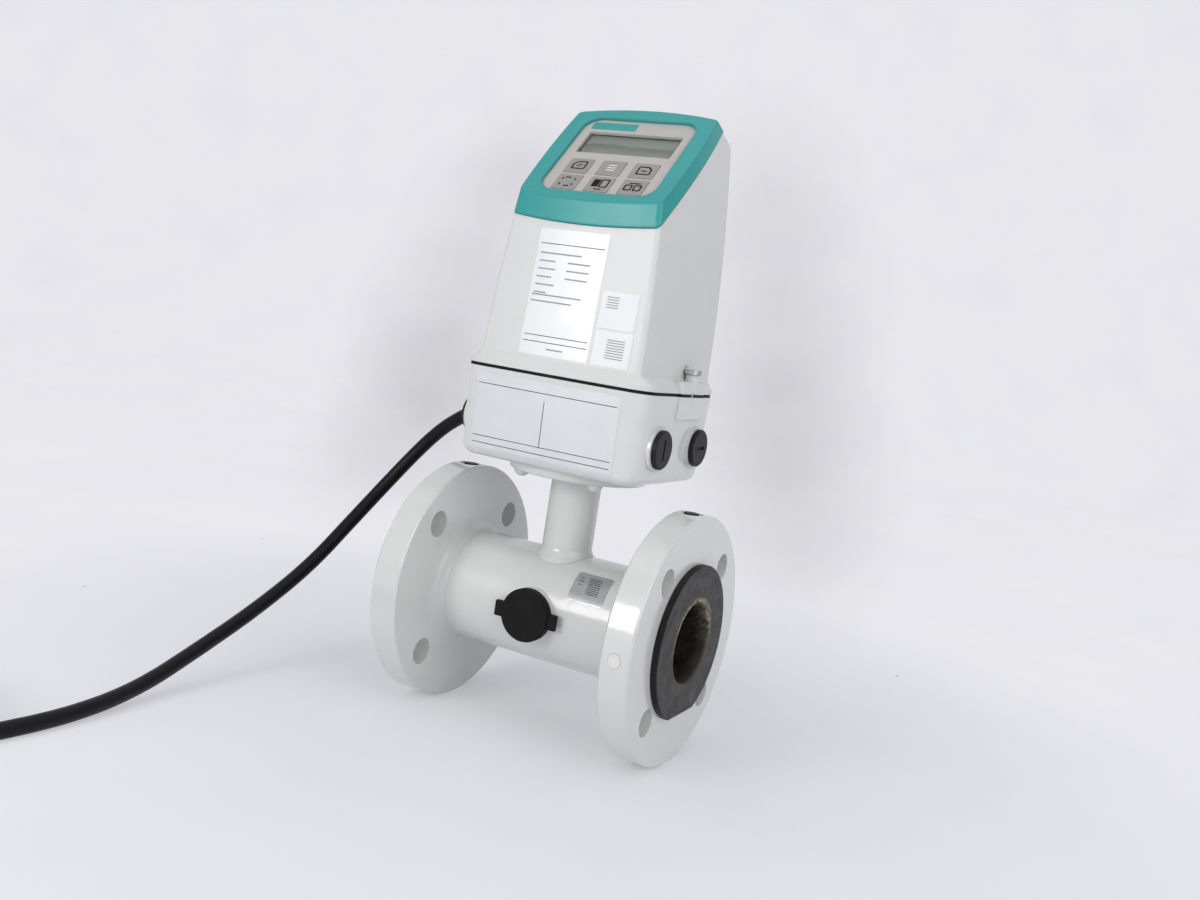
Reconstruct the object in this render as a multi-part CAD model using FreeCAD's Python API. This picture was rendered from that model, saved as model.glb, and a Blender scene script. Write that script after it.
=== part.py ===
# Electromagnetic flow meter, DN 50 / PN 16, with a compact transmitter on its neck.
#
# Frame: origin where the pipe axis meets the neck axis, X along the pipe, +Z up the neck,
# -Y to the side that the display faces. Millimetres.
import FreeCAD, Part
import math
import os
from FreeCAD import Vector

X_AXIS = Vector(1, 0, 0)
Y_AXIS = Vector(0, 1, 0)
Z_AXIS = Vector(0, 0, 1)
BIG = 600.0

# ---- pipe part -------------------------------------------------------------------------
FACE_TO_FACE = 200.0
FLANGE_D = 165.0
FLANGE_T = 20.0
FLANGE_EDGE = 1.2
BOLT_CIRCLE_D = 125.0
BOLT_HOLE_D = 18.0
BOLT_COUNT = 4
HUB_FILLET = 9.0
SHELL_D = 76.1
SHELL_WALL = 2.9
MEASURING_TUBE_D = 60.3
MEASURING_TUBE_WALL = 2.0
LINER_FACE_D = 102.0
LINER_FACE_T = 4.5
LINER_FLAT_CUT = 4.0
BORE_MOUTH_D = 53.0
BORE_THROAT_D = 42.0
THROAT_LENGTH = 80.0
MOUTH_ROUND = 1.5

RIM_PLUG_D = 8.3
RIM_PLUG_HEAD_D = 10.0
RIM_PLUG_HEAD_T = 1.2
RIM_PLUG_DEPTH = 8.0
RIM_FLAT_D = 15.0
RIM_FLAT_CUT = 0.9
RIM_PLUG_PROUD = 0.3
FIT = 0.1

COIL_LENGTH = 70.0
COIL_WIDTH = 50.0
COIL_WINDOW_LENGTH = 38.0
COIL_WINDOW_WIDTH = 18.0
COIL_T = 4.0
COIL_LIFT = 0.3
CORE_GAP = 0.3

ELECTRODE_D = 4.0
ELECTRODE_HEAD_D = 9.0
ELECTRODE_HEAD_T = 1.5
ELECTRODE_TIP = 34.0
ELECTRODE_NUT_AF = 7.0
ELECTRODE_NUT_T = 2.0
INSULATOR_D = 7.0
GROUND_ELECTRODE_X = 54.0

CAP_SEAT_D = 35.0
CAP_SEAT_BORE_D = 24.0
CAP_SEAT_FACE = 39.6
CAP_D = 35.0
CAP_T = 5.9
CAP_EDGE = 0.9
CAP_EAR_SPAN = 45.5
CAP_EAR_WIDTH = 10.0
CAP_EAR_T = 3.2
CAP_EAR_SET = 1.2
CAP_SPIGOT_LENGTH = 5.0

# ---- neck ------------------------------------------------------------------------------
NECK_D = 34.0
NECK_WALL = 3.0
NECK_WELD = 3.5
NECK_PLATE_D = 93.0
NECK_PLATE_T = 6.0
NECK_PLATE_EDGE = 2.0
NECK_SCREW_PITCH = 55.0
NECK_SCREW_HEAD_D = 11.0
NECK_SCREW_HEAD_T = 5.0
NECK_SCREW_D = 5.0
LEADS_D = 9.0

# ---- terminal box ----------------------------------------------------------------------
BOX_FLOOR_Z = 97.0
BOX_TOP_Z = 155.0
BOX_HALF_X = 68.5
BOX_HALF_Y = 57.5
BOX_DRAFT = 2.2
BOX_CORNER_R = 16.0
BOX_SIDE_BULGE = 1.0
BOX_FRONT_BULGE = 1.6
BOX_BOTTOM_ROUND = 7.0
BOX_WALL = 3.0
GASKET_T = 2.0
GASKET_INSET = 0.5
GASKET_WIDTH = 5.0

PAD_X = 70.2
PAD_Y = 8.0
PAD_HALF = 19.0
PAD_BOTTOM_Z = 140.5
SCREW_X = 67.3
SCREW_HEAD_D = 11.2
SCREW_HEAD_T = 3.0
SCREW_D = 5.0
SCREW_TIP_Z = 146.0
LUG_D = 8.6
LUG_TOP_Z = 169.4
NICHE_HEIGHT = 5.0
SLOT_WIDTH = 1.6
SLOT_DEPTH = 1.2

ENTRY_Z = 121.5
ENTRY_Y = 29.0
ENTRY_BOSS_D = 28.4
ENTRY_BOSS_X = 69.0
ENTRY_THREAD_D = 20.0
PLUG_HEAD_D = 24.9
PLUG_HEAD_T = 3.0
PLUG_EDGE = 0.8
PLUG_SHANK_LENGTH = 9.0
PLUG_SLOT_LENGTH = 13.0
PLUG_SLOT_WIDTH = 2.0
SEAL_MEAN_D = 22.0
SEAL_D = 1.4
RUN_GAP = 0.3

GLAND_HEX_AF = 24.0
GLAND_HEX_T = 5.0
GLAND_NECK_D = 18.6
GLAND_NUT_D = 24.0
GLAND_NUT_LENGTH = 11.5
GLAND_END_X = 86.0

STANDOFF_TOP_Z = 108.0
STANDOFF_D = 8.0
BOARD_T = 1.6
TERMINAL_HEIGHT = 14.0

# ---- transmitter head ------------------------------------------------------------------
SKIRT_RISE = 3.0
SKIRT_HEIGHT = 9.0
HEAD_HALF_X = 62.6
HEAD_FRONT_Y = 54.0
HEAD_BACK_Y = 57.0
HEAD_TAPER = 0.0004
HEAD_LEAN = 0.0833
HEAD_CORNER_R = 3.6
HEAD_BACK_CORNER_R = 11.0
HEAD_CREST_Y = 24.0
HEAD_SIDE_BULGE = 5.2
HEAD_SIDE_SWELL = 0.03
HEAD_FRONT_BULGE = 4.0
HEAD_BACK_BULGE = 1.0
HEAD_WALL = 3.0
HEAD_LOFT_TOP = 350.0
ROOF_Y = 24.7
ROOF_Z = 337.5
ROOF_FALL_DEG = 20.0
ROOF_RADIUS = 260.0
ROOF_EDGE_R = 8.0
ROOF_EDGE_FLARE = 6.0
ROOF_HALF_X = 52.5
ROOF_SIDE_SLOPE = 0.2

# display face: local axes are x, up-slope and outward
SLOPE_DEG = 45.0
SLOPE_Y = -20.0
SLOPE_Z = 290.0
BEZEL_TOP = 2.0
BEZEL_BOTTOM = -7.8
BEZEL_PROUD = 0.5
BEZEL_LIP = 3.2
PANEL_HALF_X = 41.5
PANEL_LOW = -26.0
PANEL_HIGH = 55.0
PANEL_CORNER_R = 12.0
PANEL_T = 2.0
WINDOW_HALF_X = 34.5
WINDOW_LOW = 17.5
WINDOW_HIGH = 41.0
WINDOW_T = 1.5
WINDOW_SEAT = 2.0
KEY_PITCH_X = 23.7
KEY_ROWS = (2.4, -15.1)
KEY_WIDTH = 17.0
KEY_HEIGHT = 15.3
KEY_CORNER_R = 1.0
KEY_PROUD = 0.2
KEY_FLANGE = 0.9
KEY_FLANGE_T = 1.0
KEY_TRAVEL = 0.5
DOME_D = 6.0
DOME_H = 0.5


# ---- shared shapes ---------------------------------------------------------------------
def rod(centre, axis, radius, start, end):
    """Cylinder about an axis through centre, from start to end along it."""
    return Part.makeCylinder(radius, end - start, centre + axis * start, axis)


def tube(centre, axis, outer_radius, inner_radius, start, end):
    outer = rod(centre, axis, outer_radius, start, end)
    return outer.cut(rod(centre, axis, inner_radius, start - 1, end + 1))


def block(x0, x1, y0, y1, z0, z1):
    return Part.makeBox(x1 - x0, y1 - y0, z1 - z0, Vector(x0, y0, z0))


def prism(points, direction):
    return Part.Face(Part.makePolygon(points + points[:1])).extrude(direction)


def hexagon(centre, axis, across_flats, start, end):
    """Hexagonal bar about an axis along X, Y or Z."""
    side = Z_AXIS if abs(axis.z) < 0.5 else X_AXIS
    other = axis.cross(side)
    radius = across_flats / math.sqrt(3)
    points = []
    for k in range(6):
        angle = math.radians(60 * k)
        offset = side * (radius * math.cos(angle)) + other * (radius * math.sin(angle))
        points.append(centre + axis * start + offset)
    return prism(points, axis * (end - start))


def arc(p1, p2, p3):
    return Part.Arc(p1, p2, p3).toShape()


def rounded_plate(x0, x1, y0, y1, radius, z0, z1):
    """Plate with rounded corners, lying in local x and y."""
    plate = block(x0, x1, y0, y1, z0, z1)
    upright = [e for e in plate.Edges if abs(e.tangentAt(e.FirstParameter).z) > 0.9]
    return plate.makeFillet(radius, upright)


def mirrored_x(shape):
    return shape.mirror(Vector(0, 0, 0), X_AXIS)


def mirrored_y(shape):
    return shape.mirror(Vector(0, 0, 0), Y_AXIS)


def on_slope(shape):
    """Move a shape from the display face's own axes to the part's frame."""
    moved = shape.copy()
    turn = FreeCAD.Rotation(X_AXIS, SLOPE_DEG)
    moved.Placement = FreeCAD.Placement(Vector(0, SLOPE_Y, SLOPE_Z), turn).multiply(moved.Placement)
    return moved


def corner_centre(side, side_reach, face, face_reach, sign_y):
    """Point at the two given distances from two arc centres, on the +X side."""
    gap = face.sub(side)
    distance = gap.Length
    along = (distance ** 2 + side_reach ** 2 - face_reach ** 2) / (2 * distance)
    across = math.sqrt(side_reach ** 2 - along ** 2)
    unit = gap.normalize()
    normal = Vector(-unit.y, unit.x, 0)
    first = side + unit * along + normal * across
    second = side + unit * along - normal * across
    return first if (first.y - side.y) * sign_y > 0 and first.x > second.x - 1e-6 else (
        second if (second.y - side.y) * sign_y > 0 else first)


def pillow(z, half_x, front, back, radius, side_bulge, front_bulge, back_bulge, crest_y=None, back_radius=None):
    """Closed outline of four slightly bowed sides joined by tangent corner arcs.

    The sides are widest at crest_y, which is halfway along them unless given."""
    middle_y = (back - front) / 2 if crest_y is None else crest_y
    back_radius = radius if back_radius is None else back_radius
    reach = front + middle_y
    side_r = (reach ** 2 + side_bulge ** 2) / (2 * side_bulge)
    front_r = (half_x ** 2 + front_bulge ** 2) / (2 * front_bulge)
    back_r = (half_x ** 2 + back_bulge ** 2) / (2 * back_bulge)
    side_c = Vector(half_x - side_r, middle_y, z)
    front_c = Vector(0, front_r - front, z)
    back_c = Vector(0, back - back_r, z)
    low = corner_centre(side_c, side_r - radius, front_c, front_r - radius, -1)
    high = corner_centre(side_c, side_r - back_radius, back_c, back_r - back_radius, 1)

    def touch(corner, centre, r):
        return corner + (corner - centre).normalize() * r

    def middle(corner, first, second, r):
        return corner + ((first - corner) + (second - corner)).normalize() * r

    low_front, low_side = touch(low, front_c, radius), touch(low, side_c, radius)
    high_side, high_back = touch(high, side_c, back_radius), touch(high, back_c, back_radius)
    low_mid = middle(low, low_front, low_side, radius)
    high_mid = middle(high, high_side, high_back, back_radius)

    def left(p):
        return Vector(-p.x, p.y, p.z)

    edges = [
        arc(left(low_front), Vector(0, -front, z), low_front),
        arc(low_front, low_mid, low_side),
        arc(low_side, Vector(half_x, middle_y, z), high_side),
        arc(high_side, high_mid, high_back),
        arc(high_back, Vector(0, back, z), left(high_back)),
        arc(left(high_back), left(high_mid), left(high_side)),
        arc(left(high_side), Vector(-half_x, middle_y, z), left(low_side)),
        arc(left(low_side), left(low_mid), left(low_front)),
    ]
    return Part.Wire(edges)


def export(node, shape):
    for solid in shape.Solids:
        if not solid.isValid() or solid.Volume <= 0:
            raise ValueError(node + " has a bad solid")
    shape.exportStep(os.path.join("parts", node + ".step"))
    print("%-26s %2d solid(s) %12.1f mm3" % (node, len(shape.Solids), shape.Volume))


# ---- derived sizes ---------------------------------------------------------------------
ORIGIN = Vector(0, 0, 0)
FLANGE_R = FLANGE_D / 2
FACE_X = FACE_TO_FACE / 2
STEEL_X = FACE_X - LINER_FACE_T
INNER_X = STEEL_X - FLANGE_T
HUB_X = INNER_X - HUB_FILLET
SHELL_R = SHELL_D / 2
SHELL_IN_R = SHELL_R - SHELL_WALL
TUBE_R = MEASURING_TUBE_D / 2
TUBE_IN_R = TUBE_R - MEASURING_TUBE_WALL
THROAT_R = BORE_THROAT_D / 2
MOUTH_R = BORE_MOUTH_D / 2
NECK_R = NECK_D / 2
NECK_IN_R = NECK_R - NECK_WALL
PLATE_Z = BOX_FLOOR_Z - NECK_PLATE_T
HEAD_Z = BOX_TOP_Z + GASKET_T
RIM_MID_X = (STEEL_X + INNER_X) / 2
ENTRY_R = ENTRY_THREAD_D / 2
BOARD_Z = STANDOFF_TOP_Z
BOARD_TOP_Z = BOARD_Z + BOARD_T


# ---- flow tube -------------------------------------------------------------------------
def rim_hole(axis):
    """Blind hole from the rim of the +X flange towards its axis."""
    centre = Vector(RIM_MID_X, 0, 0)
    return rod(centre, axis, RIM_PLUG_D / 2 + FIT, FLANGE_R - RIM_PLUG_DEPTH - RIM_FLAT_CUT, FLANGE_R + 5)


def make_flange():
    """Flange at +X: turned disc with a hub that meets the shell, drilled and faced."""
    p = [
        Vector(STEEL_X, TUBE_R, 0),
        Vector(STEEL_X, FLANGE_R - FLANGE_EDGE, 0),
        Vector(STEEL_X - FLANGE_EDGE, FLANGE_R, 0),
        Vector(INNER_X + FLANGE_EDGE, FLANGE_R, 0),
        Vector(INNER_X, FLANGE_R - FLANGE_EDGE, 0),
        Vector(INNER_X, SHELL_R + HUB_FILLET, 0),
    ]
    edges = [Part.makeLine(a, b) for a, b in zip(p, p[1:])]
    hub_end = Vector(HUB_X, SHELL_R, 0)
    dip = HUB_FILLET * (1 - math.sqrt(0.5))
    edges.append(arc(p[-1], Vector(INNER_X - dip, SHELL_R + dip, 0), hub_end))
    q = [hub_end, Vector(HUB_X, SHELL_IN_R, 0), Vector(INNER_X, SHELL_IN_R, 0), Vector(INNER_X, TUBE_R, 0), p[0]]
    edges += [Part.makeLine(a, b) for a, b in zip(q, q[1:])]
    flange = Part.Face(Part.Wire(edges)).revolve(ORIGIN, X_AXIS, 360)
    for k in range(BOLT_COUNT):
        angle = 2 * math.pi * (k + 0.5) / BOLT_COUNT
        centre = Vector(0, math.cos(angle), math.sin(angle)) * (BOLT_CIRCLE_D / 2)
        flange = flange.cut(rod(centre, X_AXIS, BOLT_HOLE_D / 2, INNER_X - 1, STEEL_X + 1))
    flange = flange.cut(rim_hole(Z_AXIS))
    spot = rod(Vector(RIM_MID_X, 0, 0), Z_AXIS, RIM_FLAT_D / 2, FLANGE_R - RIM_FLAT_CUT, FLANGE_R + 5)
    return flange.cut(spot)


def make_rim_plug():
    centre = Vector(RIM_MID_X, 0, 0)
    seat = FLANGE_R - RIM_FLAT_CUT
    stem = rod(centre, Z_AXIS, RIM_PLUG_D / 2, seat - RIM_PLUG_DEPTH, seat)
    head = rod(centre, Z_AXIS, RIM_PLUG_HEAD_D / 2, seat, seat + RIM_PLUG_HEAD_T)
    head = head.makeChamfer(RIM_PLUG_HEAD_T / 3, [head.Edges[0]])
    return stem.fuse(head).removeSplitter()


def make_side_rim_plug():
    centre = Vector(RIM_MID_X, 0, 0)
    return rod(centre, Y_AXIS * -1, RIM_PLUG_D / 2, FLANGE_R - RIM_PLUG_DEPTH - RIM_FLAT_CUT,
               FLANGE_R + RIM_PLUG_PROUD)


def make_liner():
    """Rubber liner: coned bore, straight outside, a raised face at each end."""
    half_throat = THROAT_LENGTH / 2
    edge = MOUTH_ROUND * (1 - math.sqrt(0.5))
    face_r = LINER_FACE_D / 2

    def profile(s):
        return [
            Vector(s * half_throat, THROAT_R, 0),
            Vector(s * (FACE_X - MOUTH_ROUND), MOUTH_R, 0),
            Vector(s * (FACE_X - edge), MOUTH_R + edge, 0),
            Vector(s * FACE_X, MOUTH_R + MOUTH_ROUND, 0),
            Vector(s * FACE_X, face_r - edge, 0),
            Vector(s * (FACE_X - edge), face_r, 0),
            Vector(s * STEEL_X, face_r, 0),
            Vector(s * STEEL_X, TUBE_IN_R, 0),
        ]

    right, left = profile(1), profile(-1)
    outline = Part.makePolygon(right + left[::-1] + right[:1])
    liner = Part.Face(outline).revolve(ORIGIN, X_AXIS, 360)
    for s in (1, -1):
        x0, x1 = sorted((s * STEEL_X, s * (FACE_X + 1)))
        liner = liner.cut(block(x0, x1, -face_r, face_r, -face_r - 1, LINER_FLAT_CUT - face_r))
    for side in (1, -1):
        axis = Y_AXIS * side
        liner = liner.cut(rod(ORIGIN, axis, ELECTRODE_D / 2, 0, TUBE_R))
        liner = liner.cut(rod(ORIGIN, axis, ELECTRODE_HEAD_D / 2, 0, THROAT_R + ELECTRODE_HEAD_T))
        ground = Vector(side * GROUND_ELECTRODE_X, 0, 0)
        liner = liner.cut(rod(ground, Z_AXIS * -1, ELECTRODE_D / 2, 0, TUBE_R))
        liner = liner.cut(rod(ground, Z_AXIS * -1, ELECTRODE_HEAD_D / 2, 0, ground_seat()))
    return liner


def ground_seat():
    """Radius at which a grounding electrode's head sits in the coned bore."""
    half_throat = THROAT_LENGTH / 2
    share = (GROUND_ELECTRODE_X - half_throat) / (FACE_X - half_throat)
    return THROAT_R + share * (MOUTH_R - THROAT_R) + ELECTRODE_HEAD_T


def make_measuring_tube():
    pipe = tube(ORIGIN, X_AXIS, TUBE_R, TUBE_IN_R, -STEEL_X, STEEL_X)
    for side in (1, -1):
        pipe = pipe.cut(rod(ORIGIN, Y_AXIS * side, INSULATOR_D / 2, TUBE_IN_R - 3, TUBE_R + 1))
        ground = Vector(side * GROUND_ELECTRODE_X, 0, 0)
        pipe = pipe.cut(rod(ground, Z_AXIS * -1, ELECTRODE_D / 2, TUBE_IN_R - 3, TUBE_R + 1))
    return pipe


def make_shell():
    """Outer tube, open under the neck and behind the two electrode covers."""
    pipe = tube(ORIGIN, X_AXIS, SHELL_R, SHELL_IN_R, -HUB_X, HUB_X)
    pipe = pipe.cut(rod(ORIGIN, Z_AXIS, NECK_IN_R, 0, SHELL_R + 5))
    for side in (1, -1):
        pipe = pipe.cut(rod(ORIGIN, Y_AXIS * side, CAP_SEAT_BORE_D / 2, 0, SHELL_R + 5))
    return pipe


def make_coil():
    """Saddle coil above the measuring tube: a curved frame with a window."""
    layer = tube(ORIGIN, X_AXIS, TUBE_R + COIL_LIFT + COIL_T, TUBE_R + COIL_LIFT, -COIL_LENGTH, COIL_LENGTH)
    frame = rounded_plate(-COIL_LENGTH / 2, COIL_LENGTH / 2, -COIL_WIDTH / 2, COIL_WIDTH / 2, 6, 0, SHELL_R)
    window = rounded_plate(-COIL_WINDOW_LENGTH / 2, COIL_WINDOW_LENGTH / 2, -COIL_WINDOW_WIDTH / 2,
                           COIL_WINDOW_WIDTH / 2, 4, -1, SHELL_R + 1)
    return layer.common(frame.cut(window))


def make_core():
    """Iron pole piece in the coil's window, resting on the measuring tube."""
    layer = tube(ORIGIN, X_AXIS, TUBE_R + COIL_LIFT + COIL_T, TUBE_R, -COIL_LENGTH, COIL_LENGTH)
    x1 = COIL_WINDOW_LENGTH / 2 - CORE_GAP
    y1 = COIL_WINDOW_WIDTH / 2 - CORE_GAP
    return layer.common(rounded_plate(-x1, x1, -y1, y1, 3.7, 0, SHELL_R))


def make_electrode(centre, axis, seat):
    """Pin with a flat head in the bore, out through liner and tube."""
    head = rod(centre, axis, ELECTRODE_HEAD_D / 2, seat - ELECTRODE_HEAD_T, seat)
    return head.fuse(rod(centre, axis, ELECTRODE_D / 2, seat - ELECTRODE_HEAD_T, ELECTRODE_TIP)).removeSplitter()


def make_electrode_nut(centre, axis):
    nut = hexagon(centre, axis, ELECTRODE_NUT_AF, TUBE_R + 0.8, TUBE_R + 0.8 + ELECTRODE_NUT_T)
    return nut.cut(rod(centre, axis, ELECTRODE_D / 2, 0, ELECTRODE_TIP + 5))


def make_insulator(axis):
    """Bush and washer that keep an electrode off the tube and carry its nut."""
    bush = rod(ORIGIN, axis, INSULATOR_D / 2, TUBE_IN_R + 0.02, TUBE_R + 0.8)
    bush = bush.cut(rod(ORIGIN, axis, ELECTRODE_D / 2, 0, TUBE_R + 5))
    return bush.cut(rod(ORIGIN, X_AXIS, TUBE_IN_R, -20, 20))


def make_cap_seat():
    """Short threaded ring welded to the shell behind the front cover."""
    ring = tube(ORIGIN, Y_AXIS * -1, CAP_SEAT_D / 2, CAP_SEAT_BORE_D / 2, SHELL_IN_R - 8, CAP_SEAT_FACE)
    return ring.cut(rod(ORIGIN, X_AXIS, SHELL_R, -50, 50))


def make_electrode_cap():
    """Round rubber cover with two ears and a spigot into its seat."""
    front = Y_AXIS * -1
    face = CAP_SEAT_FACE + RUN_GAP
    disc = rod(ORIGIN, front, CAP_D / 2, face, face + CAP_T)
    outer_rim = [e for e in disc.Edges if abs(e.CenterOfMass.y + face + CAP_T) < 0.01]
    disc = disc.makeChamfer(CAP_EDGE, outer_rim)
    ear_front = CAP_EAR_SET - face - CAP_T
    bar = block(-CAP_EAR_SPAN / 2, CAP_EAR_SPAN / 2, ear_front, ear_front + CAP_EAR_T, -CAP_EAR_WIDTH / 2,
                CAP_EAR_WIDTH / 2)
    spigot = rod(ORIGIN, front, CAP_SEAT_BORE_D / 2 - RUN_GAP, face - CAP_SPIGOT_LENGTH, face)
    return disc.fuse([bar, spigot]).removeSplitter()


# ---- neck ------------------------------------------------------------------------------
def make_neck():
    """Neck tube with a flared weld foot, cut to sit on the shell."""
    foot_z = SHELL_R - 6
    top_of_weld = SHELL_R + NECK_WELD
    points = [
        Vector(NECK_R, 0, PLATE_Z),
        Vector(NECK_IN_R, 0, PLATE_Z),
        Vector(NECK_IN_R, 0, foot_z),
        Vector(NECK_R + NECK_WELD, 0, foot_z),
        Vector(NECK_R + NECK_WELD, 0, SHELL_R - 2.5),
    ]
    edges = [Part.makeLine(a, b) for a, b in zip(points, points[1:])]
    dip = NECK_WELD * 0.29
    edges.append(arc(points[-1], Vector(NECK_R + dip, 0, SHELL_R + dip), Vector(NECK_R, 0, top_of_weld)))
    edges.append(Part.makeLine(Vector(NECK_R, 0, top_of_weld), points[0]))
    neck = Part.Face(Part.Wire(edges)).revolve(ORIGIN, Z_AXIS, 360)
    return neck.cut(rod(ORIGIN, X_AXIS, SHELL_R, -60, 60))


def neck_screw_places():
    half = NECK_SCREW_PITCH / 2
    return [Vector(sx * half, sy * half, 0) for sx in (1, -1) for sy in (1, -1)]


def make_neck_plate():
    plate = rod(ORIGIN, Z_AXIS, NECK_PLATE_D / 2, PLATE_Z, BOX_FLOOR_Z)
    lower_rim = [e for e in plate.Edges if abs(e.CenterOfMass.z - PLATE_Z) < 0.01]
    plate = plate.makeFillet(NECK_PLATE_EDGE, lower_rim)
    plate = plate.cut(rod(ORIGIN, Z_AXIS, NECK_IN_R, PLATE_Z - 1, BOX_FLOOR_Z + 1))
    for place in neck_screw_places():
        plate = plate.cut(rod(place, Z_AXIS, NECK_SCREW_D / 2 + FIT, PLATE_Z - 1, BOX_FLOOR_Z + 1))
    return plate


def make_neck_screw(place):
    """Round-headed screw from below, through the plate into the box's floor."""
    head_r = NECK_SCREW_HEAD_D / 2
    ball_r = (head_r ** 2 + NECK_SCREW_HEAD_T ** 2) / (2 * NECK_SCREW_HEAD_T)
    ball = Part.makeSphere(ball_r, place + Z_AXIS * (PLATE_Z - NECK_SCREW_HEAD_T + ball_r))
    head = ball.common(rod(place, Z_AXIS, head_r + 1, PLATE_Z - NECK_SCREW_HEAD_T - 1, PLATE_Z))
    shank = rod(place, Z_AXIS, NECK_SCREW_D / 2, PLATE_Z - 1, BOX_FLOOR_Z + BOX_WALL + 4)
    socket = hexagon(place, Z_AXIS, 4.0, PLATE_Z - NECK_SCREW_HEAD_T - 1, PLATE_Z - NECK_SCREW_HEAD_T + 2.2)
    return head.fuse(shank).removeSplitter().cut(socket)


def make_leads():
    """Bundle of coil and electrode leads up the neck to the connection board."""
    return rod(ORIGIN, Z_AXIS, LEADS_D / 2, TUBE_R + COIL_LIFT + COIL_T + 0.2, BOARD_Z)


# ---- terminal box ----------------------------------------------------------------------
def box_outline(z, inset):
    share = (BOX_TOP_Z - z) / (BOX_TOP_Z - BOX_FLOOR_Z)
    draft = BOX_DRAFT * share
    half_y = BOX_HALF_Y - draft - inset
    return pillow(z, BOX_HALF_X - draft - inset, half_y, half_y, BOX_CORNER_R - inset,
                  BOX_SIDE_BULGE, BOX_FRONT_BULGE, BOX_FRONT_BULGE)


def entry_centres():
    """Middle of each threaded entry: two on each side wall."""
    return [Vector(0, sy * ENTRY_Y, ENTRY_Z) for sy in (-1, 1)]


def lug_pad(z0, z1, side):
    """Raised pad under the captive screw, on one side wall."""
    inner_x = BOX_HALF_X - BOX_WALL - 6
    x0, x1 = sorted((side * inner_x, side * PAD_X))
    pad = block(x0, x1, PAD_Y - PAD_HALF, PAD_Y + PAD_HALF, z0, z1)
    edges = [e for e in pad.Edges if abs(e.tangentAt(e.FirstParameter).z) > 0.9
             and abs(e.CenterOfMass.x - side * PAD_X) < 0.01]
    return pad.makeFillet(2.0, edges)


def make_terminal_box():
    outer = Part.makeLoft([box_outline(BOX_FLOOR_Z, 0), box_outline(BOX_TOP_Z, 0)], True, True)
    bottom = [e for e in outer.Edges if e.BoundBox.ZMax < BOX_FLOOR_Z + 0.01]
    outer = outer.makeFillet(BOX_BOTTOM_ROUND, bottom)
    extras = []
    for side in (1, -1):
        extras.append(lug_pad(PAD_BOTTOM_Z, BOX_TOP_Z, side))
        for centre in entry_centres():
            extras.append(rod(centre, X_AXIS * side, ENTRY_BOSS_D / 2, BOX_HALF_X - BOX_WALL - 8, ENTRY_BOSS_X))
    box = outer.fuse(extras)
    room_x = BOX_HALF_X - BOX_DRAFT - BOX_WALL
    room_y = BOX_HALF_Y - BOX_FRONT_BULGE - BOX_DRAFT - BOX_WALL
    cavity = rounded_plate(-room_x, room_x, -room_y, room_y, BOX_CORNER_R - BOX_WALL,
                           BOX_FLOOR_Z + BOX_WALL, BOX_TOP_Z + 1)
    for side in (1, -1):
        cavity = cavity.cut(screw_block(side))
    box = box.cut(cavity)
    return finish_box(box)


def screw_block(side):
    """Solid column inside the wall that the captive screw threads into."""
    x0, x1 = sorted((side * (SCREW_X - 8), side * PAD_X))
    return block(x0, x1, PAD_Y - 8, PAD_Y + 8, PAD_BOTTOM_Z - 4, BOX_TOP_Z + 3)


def make_box_posts():
    posts = []
    for sx in (1, -1):
        for sy in (1, -1):
            place = Vector(sx * 40, sy * 34, 0)
            posts.append(rod(place, Z_AXIS, STANDOFF_D / 2, BOX_FLOOR_Z + BOX_WALL - 1, STANDOFF_TOP_Z))
    for place in neck_screw_places():
        posts.append(rod(place, Z_AXIS, NECK_SCREW_D / 2 + 2.5, BOX_FLOOR_Z + BOX_WALL - 1,
                         BOX_FLOOR_Z + BOX_WALL + 5))
    return posts


def finish_box(box):
    box = box.fuse(make_box_posts())
    box = box.cut(rod(ORIGIN, Z_AXIS, NECK_IN_R, BOX_FLOOR_Z - 1, BOX_FLOOR_Z + BOX_WALL + 1))
    for place in neck_screw_places():
        box = box.cut(rod(place, Z_AXIS, NECK_SCREW_D / 2 + FIT, BOX_FLOOR_Z - 1, BOX_FLOOR_Z + BOX_WALL + 4.1))
    for side in (1, -1):
        screw = Vector(side * SCREW_X, PAD_Y, 0)
        box = box.cut(rod(screw, Z_AXIS, SCREW_D / 2 + RUN_GAP, SCREW_TIP_Z - 1, BOX_TOP_Z + 1))
        for centre in entry_centres():
            box = box.cut(rod(centre, X_AXIS * side, ENTRY_R, BOX_HALF_X - BOX_WALL - 12, ENTRY_BOSS_X + 1))
    for side, centre in plug_places():
        box = box.cut(seal_ring(side, centre))
    return box


def plug_places():
    """The three entries that hold blind plugs; the fourth holds the cable gland."""
    front, back = entry_centres()
    return [(1, front), (1, back), (-1, front)]


def seal_ring(side, centre):
    """Flat sealing ring let into the face of an entry boss."""
    outer, inner = (SEAL_MEAN_D + SEAL_D) / 2, (SEAL_MEAN_D - SEAL_D) / 2
    return tube(centre, X_AXIS * side, outer, inner, ENTRY_BOSS_X - 1.0, ENTRY_BOSS_X)


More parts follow.
